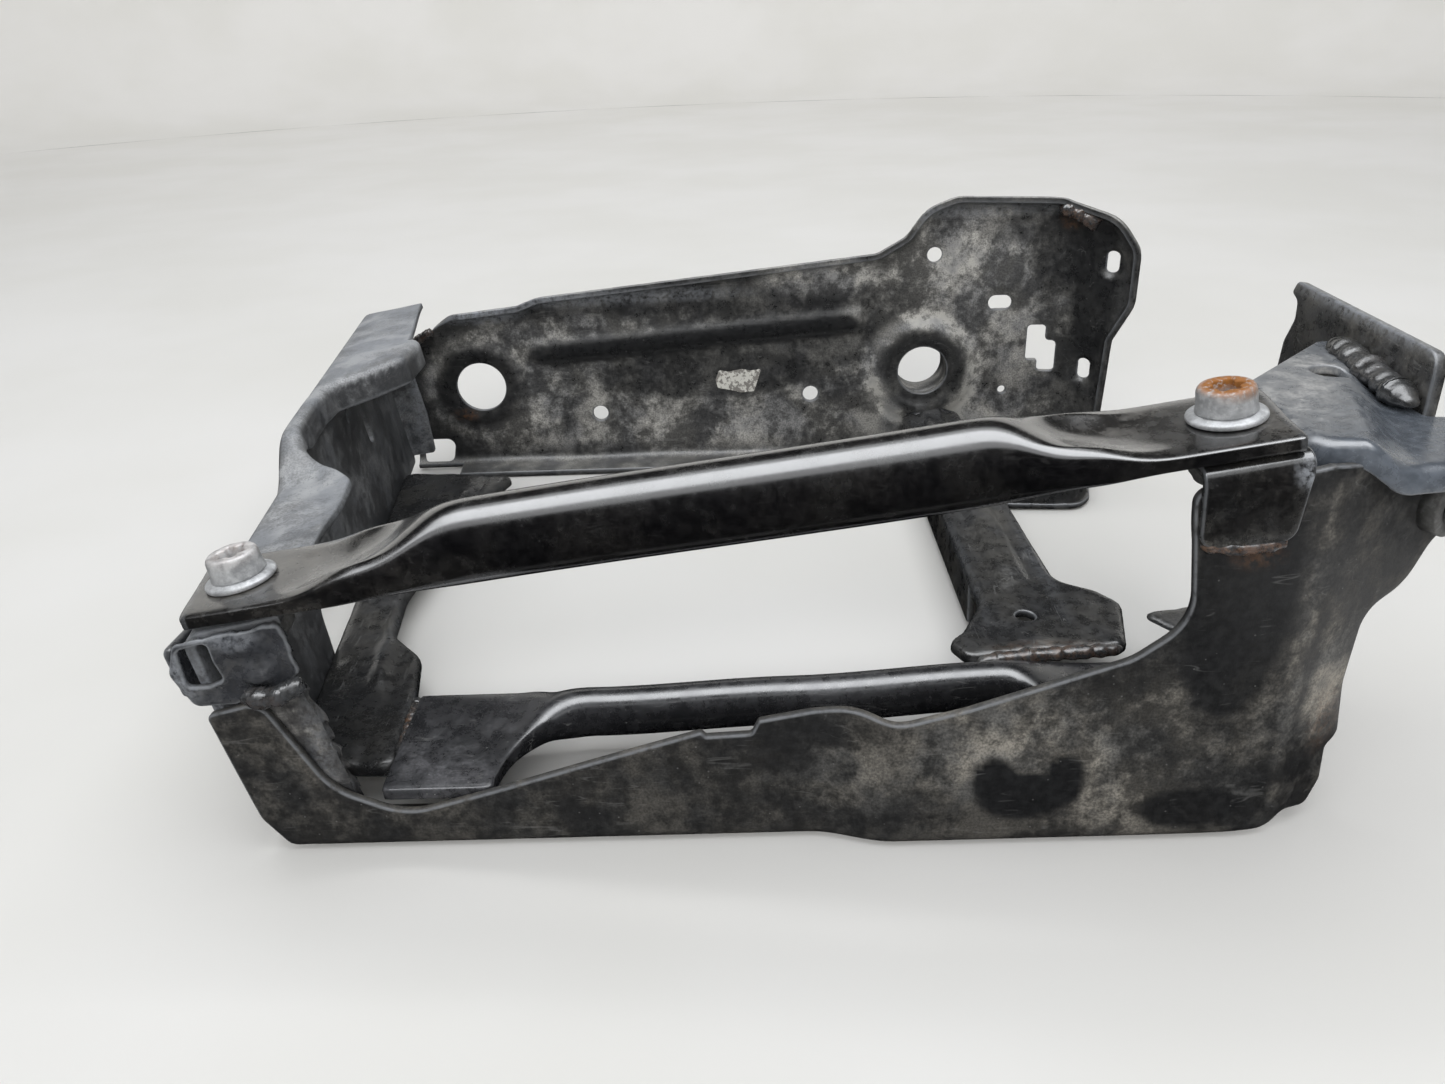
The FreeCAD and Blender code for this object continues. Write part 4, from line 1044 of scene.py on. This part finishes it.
def lower_rail():
    """Pipe that is pressed flat into a wide paddle at the left and a wider shoe at the right."""
    near, far, start, end = 3.2, 53.4, 60.0, 86.0
    rows = [(x, (near + far) / 2, 17, far - near, 5, 7) for x in np.arange(27, start, 2.4)]
    for step in range(25):
        a = math.pi / 2 * step / 24
        x = end - (end - start) * math.cos(a)
        low = near + (38.4 - near) * math.sin(a)
        high = far + 1.0 * smooth(start, end, x)
        grow = float(smooth(start - 1, end - 6, x))
        power = 7 - 5 * float(smooth(start, end - 14, x))
        rows.append((x, (low + high) / 2, 17 - 1.8 * grow, high - low, 5 + 11 * grow, power))
    rows += eased([(88, 46.3, 15.2, 16, 16, 2), (150, 49.6, 15.4, 16, 16, 2), (222, 53.6, 16.4, 16, 16, 2),
                   (250, 28.8, 18.5, 62, 5, 7), (264, 28.8, 18.5, 62, 5, 7)], 1.6)
    rings = capped([ring_yz(*row) for row in softened(rows, 2)], 0.9)
    spots = [("dust", (45, 14, 18), (40, 22, 9), 0.55), ("dust", (150, 50, 22), (90, 20, 9), 0.15)]
    tube("lower_rail_skin", rings, "frame", RAIL, ["lower_rail"], spots, 0.06)


def roll_panel(name, corners, radius, reach, height, relief, spots=(), holes=(), keep=None, base_dust=0.1):
    """Horizontal sheet whose edge rolls down all round, from its plan outline."""
    least = max(radius, reach - radius) + 1.4
    bend = offset(loop([(x, y, max(r, least) if r else 0) for x, y, r in corners], 1.8), -radius)
    outline = offset(bend, reach)
    if keep is not None:
        outline = keep(outline)

    def place(uv):
        plan, drop = rolled(uv, bend, radius)
        x, y = plan[:, 0], plan[:, 1]
        return xyz(x, y, height - drop + relief(x, y) * np.clip(1 - drop, 0, 1))

    panel(name + "_skin", outline, place, HAMMERED, [name], holes=holes, spots=spots, base_dust=base_dust)


def right_cross_member():
    end = REAR_FACE_Y - 4.2
    corners = [(206, 72, 2), (211, 61, 3), (266, 66, 3), (273, 94, 3), (267, 104, 4), (254, 112, 14),
               (252, 180, 30), (252, end + 12, 0), (222, end + 12, 0), (222, 180, 30), (222, 98, 16),
               (212, 78, 8)]

    def keep(outline):
        outline = outline.copy()
        outline[:, 1] = np.minimum(outline[:, 1], end)
        return outline[np.linalg.norm(outline - np.roll(outline, 1, 0), axis=1) > 0.3]

    def relief(x, y):
        groove = np.exp(-((x - 229) / 2.2) ** 2) + np.exp(-((x - 245) / 2.2) ** 2)
        fade = smooth(104, 122, y)
        toe = smooth(96, 70, y)
        return (2.1 * smooth(230, 233, x) * (1 - smooth(241, 244, x)) * fade - 0.7 * groove * fade
                - 0.8 * toe + 0.4 * uneven(x, y, 22, 41))

    spots = [("dust", (237, 190, 24), (22, 110, 20), 0.3), ("bare", (250, 130, 23), (4, 60, 6), 0.2),
             ("bare", (222, 130, 23), (3, 60, 6), 0.2), ("rust", (240, 66, 23), (24, 4, 6), 0.15),
             ("dust", (240, 66, 23), (28, 7, 6), 0.5)]
    roll_panel("right_cross_member", corners, 3.5, 7.0, 24.0, relief, spots,
               holes=[circle(236, 86, 3.5)], keep=keep)
    wall = loop([(116, 3, 2), (end, 3, 1), (end, 19.5, 1), (118, 19.5, 1)])
    for side, station in (("left", 222.2), ("right", 251.8)):
        panel("right_cross_wall_" + side, wall, lambda uv, x=station: xyz(x, uv[:, 0], uv[:, 1]),
              HAMMERED, thick=2.8, flip=(side == "left"), pitch=4.0)


def left_cross_member():
    corners = [(-8.3, 22, 2), (26, 20, 4), (23, 58, 10), (18, 86, 12), (4, 102, 12), (1, 131, 20),
               (7, 200, 30), (24, 254, 4), (-33, 262, 3), (-28, 214, 14), (-22.3, 155, 20),
               (-18.2, 118, 20), (-16.5, 100, 20), (-12.5, 62, 20)]

    def relief(x, y):
        line = np.interp(y, [60, 150, 240], [8, -2, 4])
        ridge = np.exp(-((x - line) / 2.6) ** 4) * smooth(62, 76, y) * (1 - smooth(228, 240, y))
        groove = np.exp(-((x - line - 6) / 1.8) ** 2)
        return 2.0 * ridge - 0.6 * groove + 0.35 * uneven(x, y, 20, 51)

    spots = [("dust", (0, 150, 15), (26, 90, 12), 0.35), ("bare", (24, 60, 14), (3, 30, 6), 0.3),
             ("bare", (4, 130, 16), (3, 60, 6), 0.35)]
    roll_panel("left_cross_member", corners, 3.0, 6.2, 15.0, relief, spots)


def rear_corner_foot():
    corners = [(253, 302, 0), (253, 238, 8), (262, 226, 10), (296, 223, 10), (303, 232, 10), (316, 283, 4),
               (300, 302, 1)]

    def place(uv):
        x, y = uv[:, 0], uv[:, 1]
        return xyz(x, y, 3.2 + 0.3 * uneven(x, y, 24, 61))

    panel("rear_corner_foot_skin", loop(corners), place, HAMMERED, ["rear_corner_foot"],
          base_dust=0.5, thick=2.6)
    path = loop([(254, 310, 0), (254, 239, 8), (263, 228, 10), (295, 225, 10), (301.5, 233, 10),
                 (313.5, 283, 1)])
    path = path[path[:, 1] < 299]
    cuts = np.concatenate([[0], np.cumsum(np.linalg.norm(np.diff(path, axis=0), axis=1))])
    end = cuts[-1] - 0.2

    def place_wall(uv):
        return xyz(np.interp(uv[:, 0], cuts, path[:, 0]), np.interp(uv[:, 0], cuts, path[:, 1]), uv[:, 1])

    wall = loop([(0.2, 2.0, 1), (end, 2.0, 1), (end, 13.5, 2), (0.2, 13.5, 2)])
    panel("rear_corner_wall", wall, place_wall, HAMMERED, thick=2.8, base_dust=0.35, pitch=2.4)


# ---- front leg ----
LEG_TOP, LEG_DROP = 120.0, 6.0


def leg_height(x, y):
    """Upper face of the leg's top plate: flat, then a step down across a slanted line."""
    c, s = math.cos(math.radians(20)), math.sin(math.radians(20))
    across = (x - 301) * c - (y - 25) * s
    swell = 0.9 * np.exp(-((across - 1.0) / 5.0) ** 2) * (1 - smooth(30, 55, y))
    return LEG_TOP - LEG_DROP * smooth(0, 14, across) + swell


LEG_BEND = np.array([(284.5, 34), (284.5, 16), (285.2, 10), (288.5, 6), (294, 3), (299, 1.0), (306, 1.2),
                     (320, 3.6), (338, 6.6), (344, 7.5)])
LEG_BEND = np.concatenate([np.linspace(a, b, 6, endpoint=False) for a, b in zip(LEG_BEND, LEG_BEND[1:])])


def leg_top_plate():
    plan = loop([(263, 31, 2), (280, 30, 3), (280.5, 6, 6), (298, -3.5, 12), (338, 2.5, 0), (338, 34, 4),
                 (328, 36, 2), (328, 90, 2), (322, 90, 4)], 1.2)
    front = offset(plan, 5.4)
    rolled_part = (plan[:, 0] > 281) & (plan[:, 0] < 337.9) & (plan[:, 1] < 8)
    outline = np.where(rolled_part[:, None], front, plan)
    outline[:, 0] = np.minimum(outline[:, 0], 338)

    def place(uv):
        flat, drop = rolled(uv, LEG_BEND, 4.0, closed=False)
        x, y = flat[:, 0], flat[:, 1]
        return xyz(x, y, leg_height(x, y) - drop)

    spots = [("dust", (288, 44, 120), (36, 40, 12), 0.9), ("dust", (308, 72, 120), (26, 30, 12), 0.9),
             ("clean", (322, 12, 116), (24, 30, 20), 1.0), ("clean", (300, 0, 112), (26, 8, 8), 1.0)]
    # The plate's paint is a painted sheen, lighter than the black paint elsewhere.
    panel("leg_top_plate_skin", outline, place, LEG_TOP_PAINTED_SHEEN, ["leg_top_plate"],
          holes=[circle(312, 60, 5.5)], spots=spots, base_dust=0.0, pitch=1.5)


def leg_mounting_flange():
    outline = loop([(37, 88, 6), (114, 84, 14), (126, 97, 8), (124.5, 110, 6), (119.5, 119, 4),
                    (120, 125, 2), (125, 127, 1.5), (124, 131, 1.5), (37, 131, 6)])

    def place(uv):
        y, z = uv[:, 0], uv[:, 1]
        return xyz(328.2 + 0.9 * smooth(126, 131, z), y, z)

    spots = [("bare", (329, 80, 131), (9, 60, 3), 0.8), ("dust", (329, 80, 108), (9, 60, 30), 0.7)]
    panel("leg_mounting_flange_skin", outline, place, HAMMERED, ["leg_mounting_flange"],
          holes=[circle(104, 106, BOLT_HOLE_R), oblong(56, 99, 11, 16)], spots=spots,
          thick=3.7, flip=True, base_dust=0.45)


def leg_rear_web():
    path = np.array([(277.0, 40.0), (320.0, 82.0)])
    end = float(np.linalg.norm(path[1] - path[0])) - 0.5
    direction = unit(path[1] - path[0])

    def place(uv):
        p = path[0] + uv[:, :1] * direction
        bulge = 0.35 * uneven(uv[:, 0], uv[:, 1], 40, 71, upright=True)
        return xyz(p[:, 0] + bulge, p[:, 1] - bulge, uv[:, 1])

    hole = circle(float(([298.0, 62.0] - path[0]) @ direction), 66, 17)
    panel("leg_rear_web_skin", loop([(0.5, 24, 2), (end, 24, 2), (end, 117, 2), (0.5, 117, 2)]), place,
          HAMMERED, ["leg_rear_web"], holes=[hole], base_dust=0.4)


def leg_base_gusset():
    corners = [(286, 1, 2), (298, 7, 2), (306, 40, 20), (318, 88, 6), (300, 97, 4), (279, 93, 2),
               (290, 76, 8), (280, 40, 14)]
    roll_panel("leg_base_gusset", corners, 2.0, 3.0, 20.0, lambda x, y: 0.3 * uneven(x, y, 26, 81),
               base_dust=0.4)


def leg_spacer_collar():
    face = np.array([COLLAR_X, float(front_plane(COLLAR_X)), COLLAR_Z])
    axis = np.array([math.sin(LEG_ANGLE), -math.cos(LEG_ANGLE), 0.0])
    lathe("leg_spacer_collar_skin", face - axis * 0.4, axis,
          [(COLLAR_R, 0), (COLLAR_R, 4.9), (5.8, 5.4), (8.4, 5.4), (9.0, 4.9), (9.0, 0)],
          NUT, ["leg_spacer_collar"])


# ---- brace, seats and bolts ----
BRACE_LENGTH = float(np.linalg.norm(RIGHT_BOLT - LEFT_BOLT))
BRACE_X = unit(RIGHT_BOLT - LEFT_BOLT)
BRACE_Z = unit(LIFT - BRACE_X * float(LIFT @ BRACE_X))
BRACE_Y = np.cross(BRACE_Z, BRACE_X)
FLAT_THICK = 4.6
AIR = 0.3
BRACE_ORIGIN = LEFT_BOLT - BRACE_Z * (FLAT_THICK / 2 + AIR)


def brace_place(points):
    return BRACE_ORIGIN + np.asarray(points, float) @ [BRACE_X, BRACE_Y, BRACE_Z]


def brace_point(x, y, z):
    return tuple(brace_place([[x, y, z]])[0])


def upper_brace():
    """Round tube pressed flat at both ends, with dished shoulders."""
    flat, pipe = (38.0, FLAT_THICK, 7.0), (24.0, 24.0, 2.0)
    length = BRACE_LENGTH
    rows = eased([(-17.5, 0, 0, *flat), (19, 0, 0, *flat), (42, 0, 1.5, 33.5, 13.0, 3.0),
                  (66, 0, 3.0, *pipe), (length - 60, 0, 1.0, *pipe),
                  (length - 42, 0, 0.5, 33, 13.5, 3.0), (length - 22, 0, 0, *flat),
                  (length + 13.5, 0, 0, *flat)], 1.5)
    rings = []
    for x, y, z, width, height, power in softened(rows, 6):
        ring = ring_yz(x, y, z, width, height, power, 96)
        left = math.exp(-((x - 34) / 13.0) ** 2)
        right = math.exp(-((x - (length - 36)) / 12.0) ** 2)
        v = (ring[:, 1] - y) / (width / 2)
        middle = np.clip(1 - (v / 0.72) ** 2, 0, 1)
        side = np.sign(ring[:, 2] - z)
        depth = np.where(side > 0, 3.4 * left + 3.0 * right, 1.6 * left + 3.4 * right)
        ring[:, 2] -= side * middle * np.minimum(depth, np.abs(ring[:, 2] - z) - 1.6).clip(0, None)
        if x < 6:
            lean = smooth(6, -17, x)
            ring[:, 0] += lean * np.interp(ring[:, 1], [-19, 19], [7.0, 0.0])
        ring[:, 0] += np.where(x > length + 8, 0.8 * np.sin(v * 2.0), 0)
        rings.append(brace_place(ring))
    rings = capped(rings, 0.7)
    rim = np.zeros(len(rings))
    rim[:3] = rim[-3:] = 1.0
    spots = placed_spots(brace_point, [
        ("dust", (4, 0, 2), (36, 34, 8), 0.8), ("dust", (30, 0, 4), (14, 20, 6), 0.4),
        ("dust", (length - 20, 4, 3), (46, 22, 8), 0.8), ("dust", (length + 4, 0, 3), (26, 26, 9), 0.8),
        ("dust", (60, -9, -6), (26, 16, 14), 0.4)])
    tube("upper_brace_skin", rings, "brace", GLOSS, ["upper_brace"], spots, 0.06,
         rim=rim)
    half = FLAT_THICK / 2
    lining = [(BOLT_HOLE_R, 0.02 - half), (BOLT_HOLE_R, half - 0.02), (5.8, half + 0.12),
              (6.6, half + 0.1), (6.6, -half - 0.1), (5.8, -half - 0.12)]
    for side, station in (("left", 0.0), ("right", length)):
        lathe("brace_hole_" + side, brace_point(station, 0, 0), BRACE_Z, lining,
              GLOSS, body="brace")


WASHER_HEIGHT, HEAD_HEIGHT = 2.1, 6.8
THREAD_PITCH, THREAD_TURNS = 1.5, 14


def bolts():
    """Six-lobe flange bolts, their captive washers and the weld nuts."""
    for side, station in (("left", 0.0), ("right", BRACE_LENGTH)):
        centre = np.array(brace_point(station, 0, 0))
        base = FLAT_THICK / 2 + AIR
        rusty = side == "right"
        top = base + WASHER_HEIGHT + HEAD_HEIGHT
        spots = [("rust", centre + BRACE_Z * top, (9.5, 9.5, 3.4), 1.6 if rusty else 0.25),
                 ("bare", centre + BRACE_Z * top, (14, 14, 10), 0.2 if rusty else 0.9),
                 # Darker at the bottom of the drive recess.
                 ("dust", centre + BRACE_Z * (top - 5), (3.8, 3.8, 4.5), 1.0)]
        lathe(side + "_washer_skin", centre + BRACE_Z * base, BRACE_Z,
              [(5.25, 0.1), (5.25, 1.9), (5.5, 2.0), (8.1, 2.0), (8.5, 1.85), (9.4, 1.45), (9.95, 1.15),
               (10.1, 0.8), (10.1, 0.3), (9.9, 0.0)],
              ZINC, [side + "_bolt_washer"], body=side + "_washer",
              spots=[("bare", centre, (30, 30, 20), 0.3)])
        bolt_piece(centre + BRACE_Z * (base + WASHER_HEIGHT), side, spots)
        nut_piece(station, side)


def bolt_piece(seat, side, spots):
    steps = 96
    a = np.arange(steps) * 2 * math.pi / steps
    lobes = 3.72 + 0.56 * np.cos(6 * a)
    profile = [(lobes * 0.6, 1.9), (lobes * 0.97, 1.9), (lobes, 2.2), (lobes, 6.35), (lobes + 0.35, 6.72),
               (5.3, 6.8), (6.2, 6.75), (6.7, 6.6), (7.1, 6.15), (7.35, 5.4), (7.45, 3.6), (7.55, 1.3),
               (7.8, 0.5), (7.75, 0.0), (5.1, 0.0), (4.95, -0.3)]
    for j in range(THREAD_TURNS * 4):
        phase = (j / 4 + a / (2 * math.pi)) % 1.0
        depth = 0.75 * min(1, j / 4, (THREAD_TURNS * 4 - 1 - j) / 4 + 0.2)
        profile.append((4.9 - depth * np.abs(2 * phase - 1), -1.6 - j * THREAD_PITCH / 4))
    rings = [xyz(r * np.cos(a), r * np.sin(a), height) for r, height in profile]
    rings.append(rings[-1] * [0.85, 0.85, 1] + [0, 0, -0.5])
    placed = [seat + ring @ [BRACE_X, BRACE_Y, BRACE_Z] for ring in rings]
    tube(side + "_bolt_skin", placed[::-1], side + "_bolt", ZINC,
         [side + "_brace_bolt"], spots, 0.1)


def nut_piece(station, side):
    face = -FLAT_THICK / 2 - AIR - SHEET - (1.1 if side == "left" else 0.0)
    a = np.arange(72) * math.pi / 36
    hexagon = np.minimum(8.5 / np.cos((a + math.pi / 6) % (math.pi / 3) - math.pi / 6), 9.55)
    rings = [brace_place(xyz(station + r * np.cos(a), r * np.sin(a), face - depth)) for r, depth in (
        (5.0, 0), (5.0, 8.0), (5.6, 8.4), (np.minimum(hexagon, 8.3), 8.4), (hexagon, 7.5),
        (hexagon, 0.8), (np.minimum(hexagon, 8.4), 0))]
    tube(side + "_weld_nut_skin", rings, "frame", NUT, [side + "_weld_nut"], closed=True)


def right_seat_bracket():
    """Seat under the brace's right end, bent down in front and welded to the leg."""
    under = -FLAT_THICK / 2 - AIR
    bend = 6.0
    quarter = bend * math.pi / 2
    front_reach, rear_reach = 22, 16
    x0, x1 = BRACE_LENGTH - 12, BRACE_LENGTH + 15
    front = FRONT_STEP - SHEET

    def place(uv):
        u, s = uv[:, 0], uv[:, 1]
        top = brace_place(xyz(u, np.maximum(s - quarter, 0) - front_reach + bend, under))
        edge = brace_place(xyz(u, -front_reach, under))
        a = np.clip(s / bend, 0, math.pi / 2)
        bent = xyz(edge[:, 0], front + (top[:, 1].min() - front) * (1 - np.cos(a)),
                   edge[:, 2] - bend + bend * np.sin(a) + np.minimum(s, 0))
        return np.where((s > quarter)[:, None], top, bent)

    reach = quarter + front_reach + rear_reach - bend
    outline = loop([(x0 + 1, -15, 5), (x1 - 2, -17, 4), (x1, 4, 3), (x1, reach, 4), (x0, reach, 4),
                    (x0, 0, 3)], 1.4)
    bolt_v = quarter + front_reach - bend
    spots = [("bare", (277, front, 117), (6, 9, 5), 0.9), ("dust", (262, front, 98), (12, 9, 4), 0.7)]
    panel("right_seat_bracket_skin", outline, place, BRACKET_GLOSS, ["right_seat_bracket"],
          holes=[circle(BRACE_LENGTH, bolt_v, BOLT_HOLE_R)], spots=spots, base_dust=0.12, pitch=1.5,
          thick=2.8)


# ---- stage ----
def stage_floor():
    """Plain pale round floor and a plain pale wall that sweeps up far round it.

    Only the wall's rear half shows in reflections."""
    base = CAD_BOX[0].z - 0.0002
    radius, sweep, height = 2.2, 0.5, 1.25
    turns = [math.radians(90 * i / 10) for i in range(11)]
    profile = [(radius + sweep * math.sin(a), sweep * (1 - math.cos(a))) for a in turns]
    profile.append((radius + sweep, height))
    flat = [(0.0, 0.0), (radius, 0.0)]
    k = Look("pale_floor")
    k.put(k.shader.inputs["Base Color"], k.mix(k.spread(k.noise(260.0, 3.0), 0.3, 0.7), (0.72, 0.71, 0.68),
                                               (0.76, 0.75, 0.73)))
    k.shader.inputs["Roughness"].default_value = 0.6
    k.shader.inputs["Specular IOR Level"].default_value = 0.0
    for name, rings, first, last, mirrored in (("stage_floor", flat, 0, 360, False),
                                               ("stage_wall_rear", profile, 0, 180, True),
                                               ("stage_wall_front", profile, 180, 360, False)):
        turn = np.radians(np.linspace(first, last, 49))
        count = len(turn)
        verts = [(r * math.cos(a), r * math.sin(a), base + z) for r, z in rings for a in turn]
        faces = [(i * count + j, i * count + j + 1, (i + 1) * count + j + 1, (i + 1) * count + j)
                 for i in range(len(rings) - 1) for j in range(count - 1)]
        mesh = bpy.data.meshes.new(name)
        mesh.from_pydata(verts, [], faces)
        mesh.polygons.foreach_set("use_smooth", np.ones(len(faces), bool))
        mesh.materials.append(k.material)
        part = bpy.data.objects.new(name, mesh)
        bpy.context.scene.collection.objects.link(part)
        part.visible_glossy = mirrored


def area_light(name, place, target, size, power, colour=(1, 1, 1), glossy=True, diffuse=True):
    data = bpy.data.lights.new(name, "AREA")
    data.shape = "RECTANGLE"
    data.size, data.size_y = size
    data.energy = power
    data.color = colour
    lamp = bpy.data.objects.new(name, data)
    lamp.location = place
    lamp.rotation_euler = (Vector(target) - Vector(place)).to_track_quat("-Z", "Y").to_euler()
    lamp.visible_camera = False
    lamp.visible_glossy = glossy
    lamp.visible_diffuse = diffuse
    bpy.context.scene.collection.objects.link(lamp)


def lights():
    """A large softbox overhead for the long highlights, and fill that stays out of the reflections."""
    world = bpy.data.worlds.new("studio")
    world.use_nodes = True
    world.node_tree.nodes["Background"].inputs[0].default_value = (0.9, 0.94, 1.0, 1)
    world.node_tree.nodes["Background"].inputs[1].default_value = 0.16
    world.cycles_visibility.glossy = False
    bpy.context.scene.world = world
    area_light("softbox", (0.0, -0.1, 1.35), (0, -0.1, 0), (1.8, 1.6), 15.5, (0.96, 0.98, 1.0))
    area_light("highlight_strip", (0.0, -0.02, 1.3), (0, -0.02, 0), (2.0, 0.75), 23.0,
               (0.95, 0.97, 1.0), diffuse=False)
    area_light("front_fill", (0.0, -1.8, 1.0), (0, 0.2, 0.15), (2.0, 1.2), 30.0, glossy=False)
    area_light("wall_wash", (0.0, 1.2, 2.1), (0, 2.6, 0.7), (3.4, 0.5), 34.0, glossy=False)
    area_light("floor_glint", to_row((435.0, -60.0, 1.0)), to_row((435.0, -60.0, 500.0)),
               (0.17, 0.26), 0.07, diffuse=False)
    bpy.context.scene.view_settings.view_transform = "Standard"


def camera():
    """Camera at the place that the parallel floor boards and the sheet edges give."""
    data = bpy.data.cameras.new("camera")
    data.sensor_fit = "HORIZONTAL"
    data.sensor_width = 36.0
    data.lens = 28.08
    pitch, yaw, roll = math.radians(26.24), math.radians(1.16), math.radians(-2.27)
    forward = Vector((-math.sin(yaw) * math.cos(pitch), math.cos(yaw) * math.cos(pitch), -math.sin(pitch)))
    level = Vector((math.cos(yaw), math.sin(yaw), 0))
    upright = level.cross(forward)
    right = math.cos(roll) * level + math.sin(roll) * upright
    up = -math.sin(roll) * level + math.cos(roll) * upright
    eye = bpy.data.objects.new("camera", data)
    frame_of_view = Matrix((right, up, -forward)).transposed().to_4x4()
    frame_of_view.translation = Vector(to_row((136.2, -263.0, 228.7)))
    eye.matrix_world = frame_of_view
    data.clip_start = 0.01
    bpy.context.scene.collection.objects.link(eye)
    bpy.context.scene.camera = eye


front_side_plate()
rear_side_plate()
rear_bore_collar()
rear_corner_foot()
left_end_member()
left_seat()
left_cross_member()
lower_rail()
right_cross_member()
leg_top_plate()
leg_mounting_flange()
leg_rear_web()
leg_base_gusset()
leg_spacer_collar()
right_seat_bracket()
upper_brace()
bolts()
welds()
stage_floor()
lights()
camera()
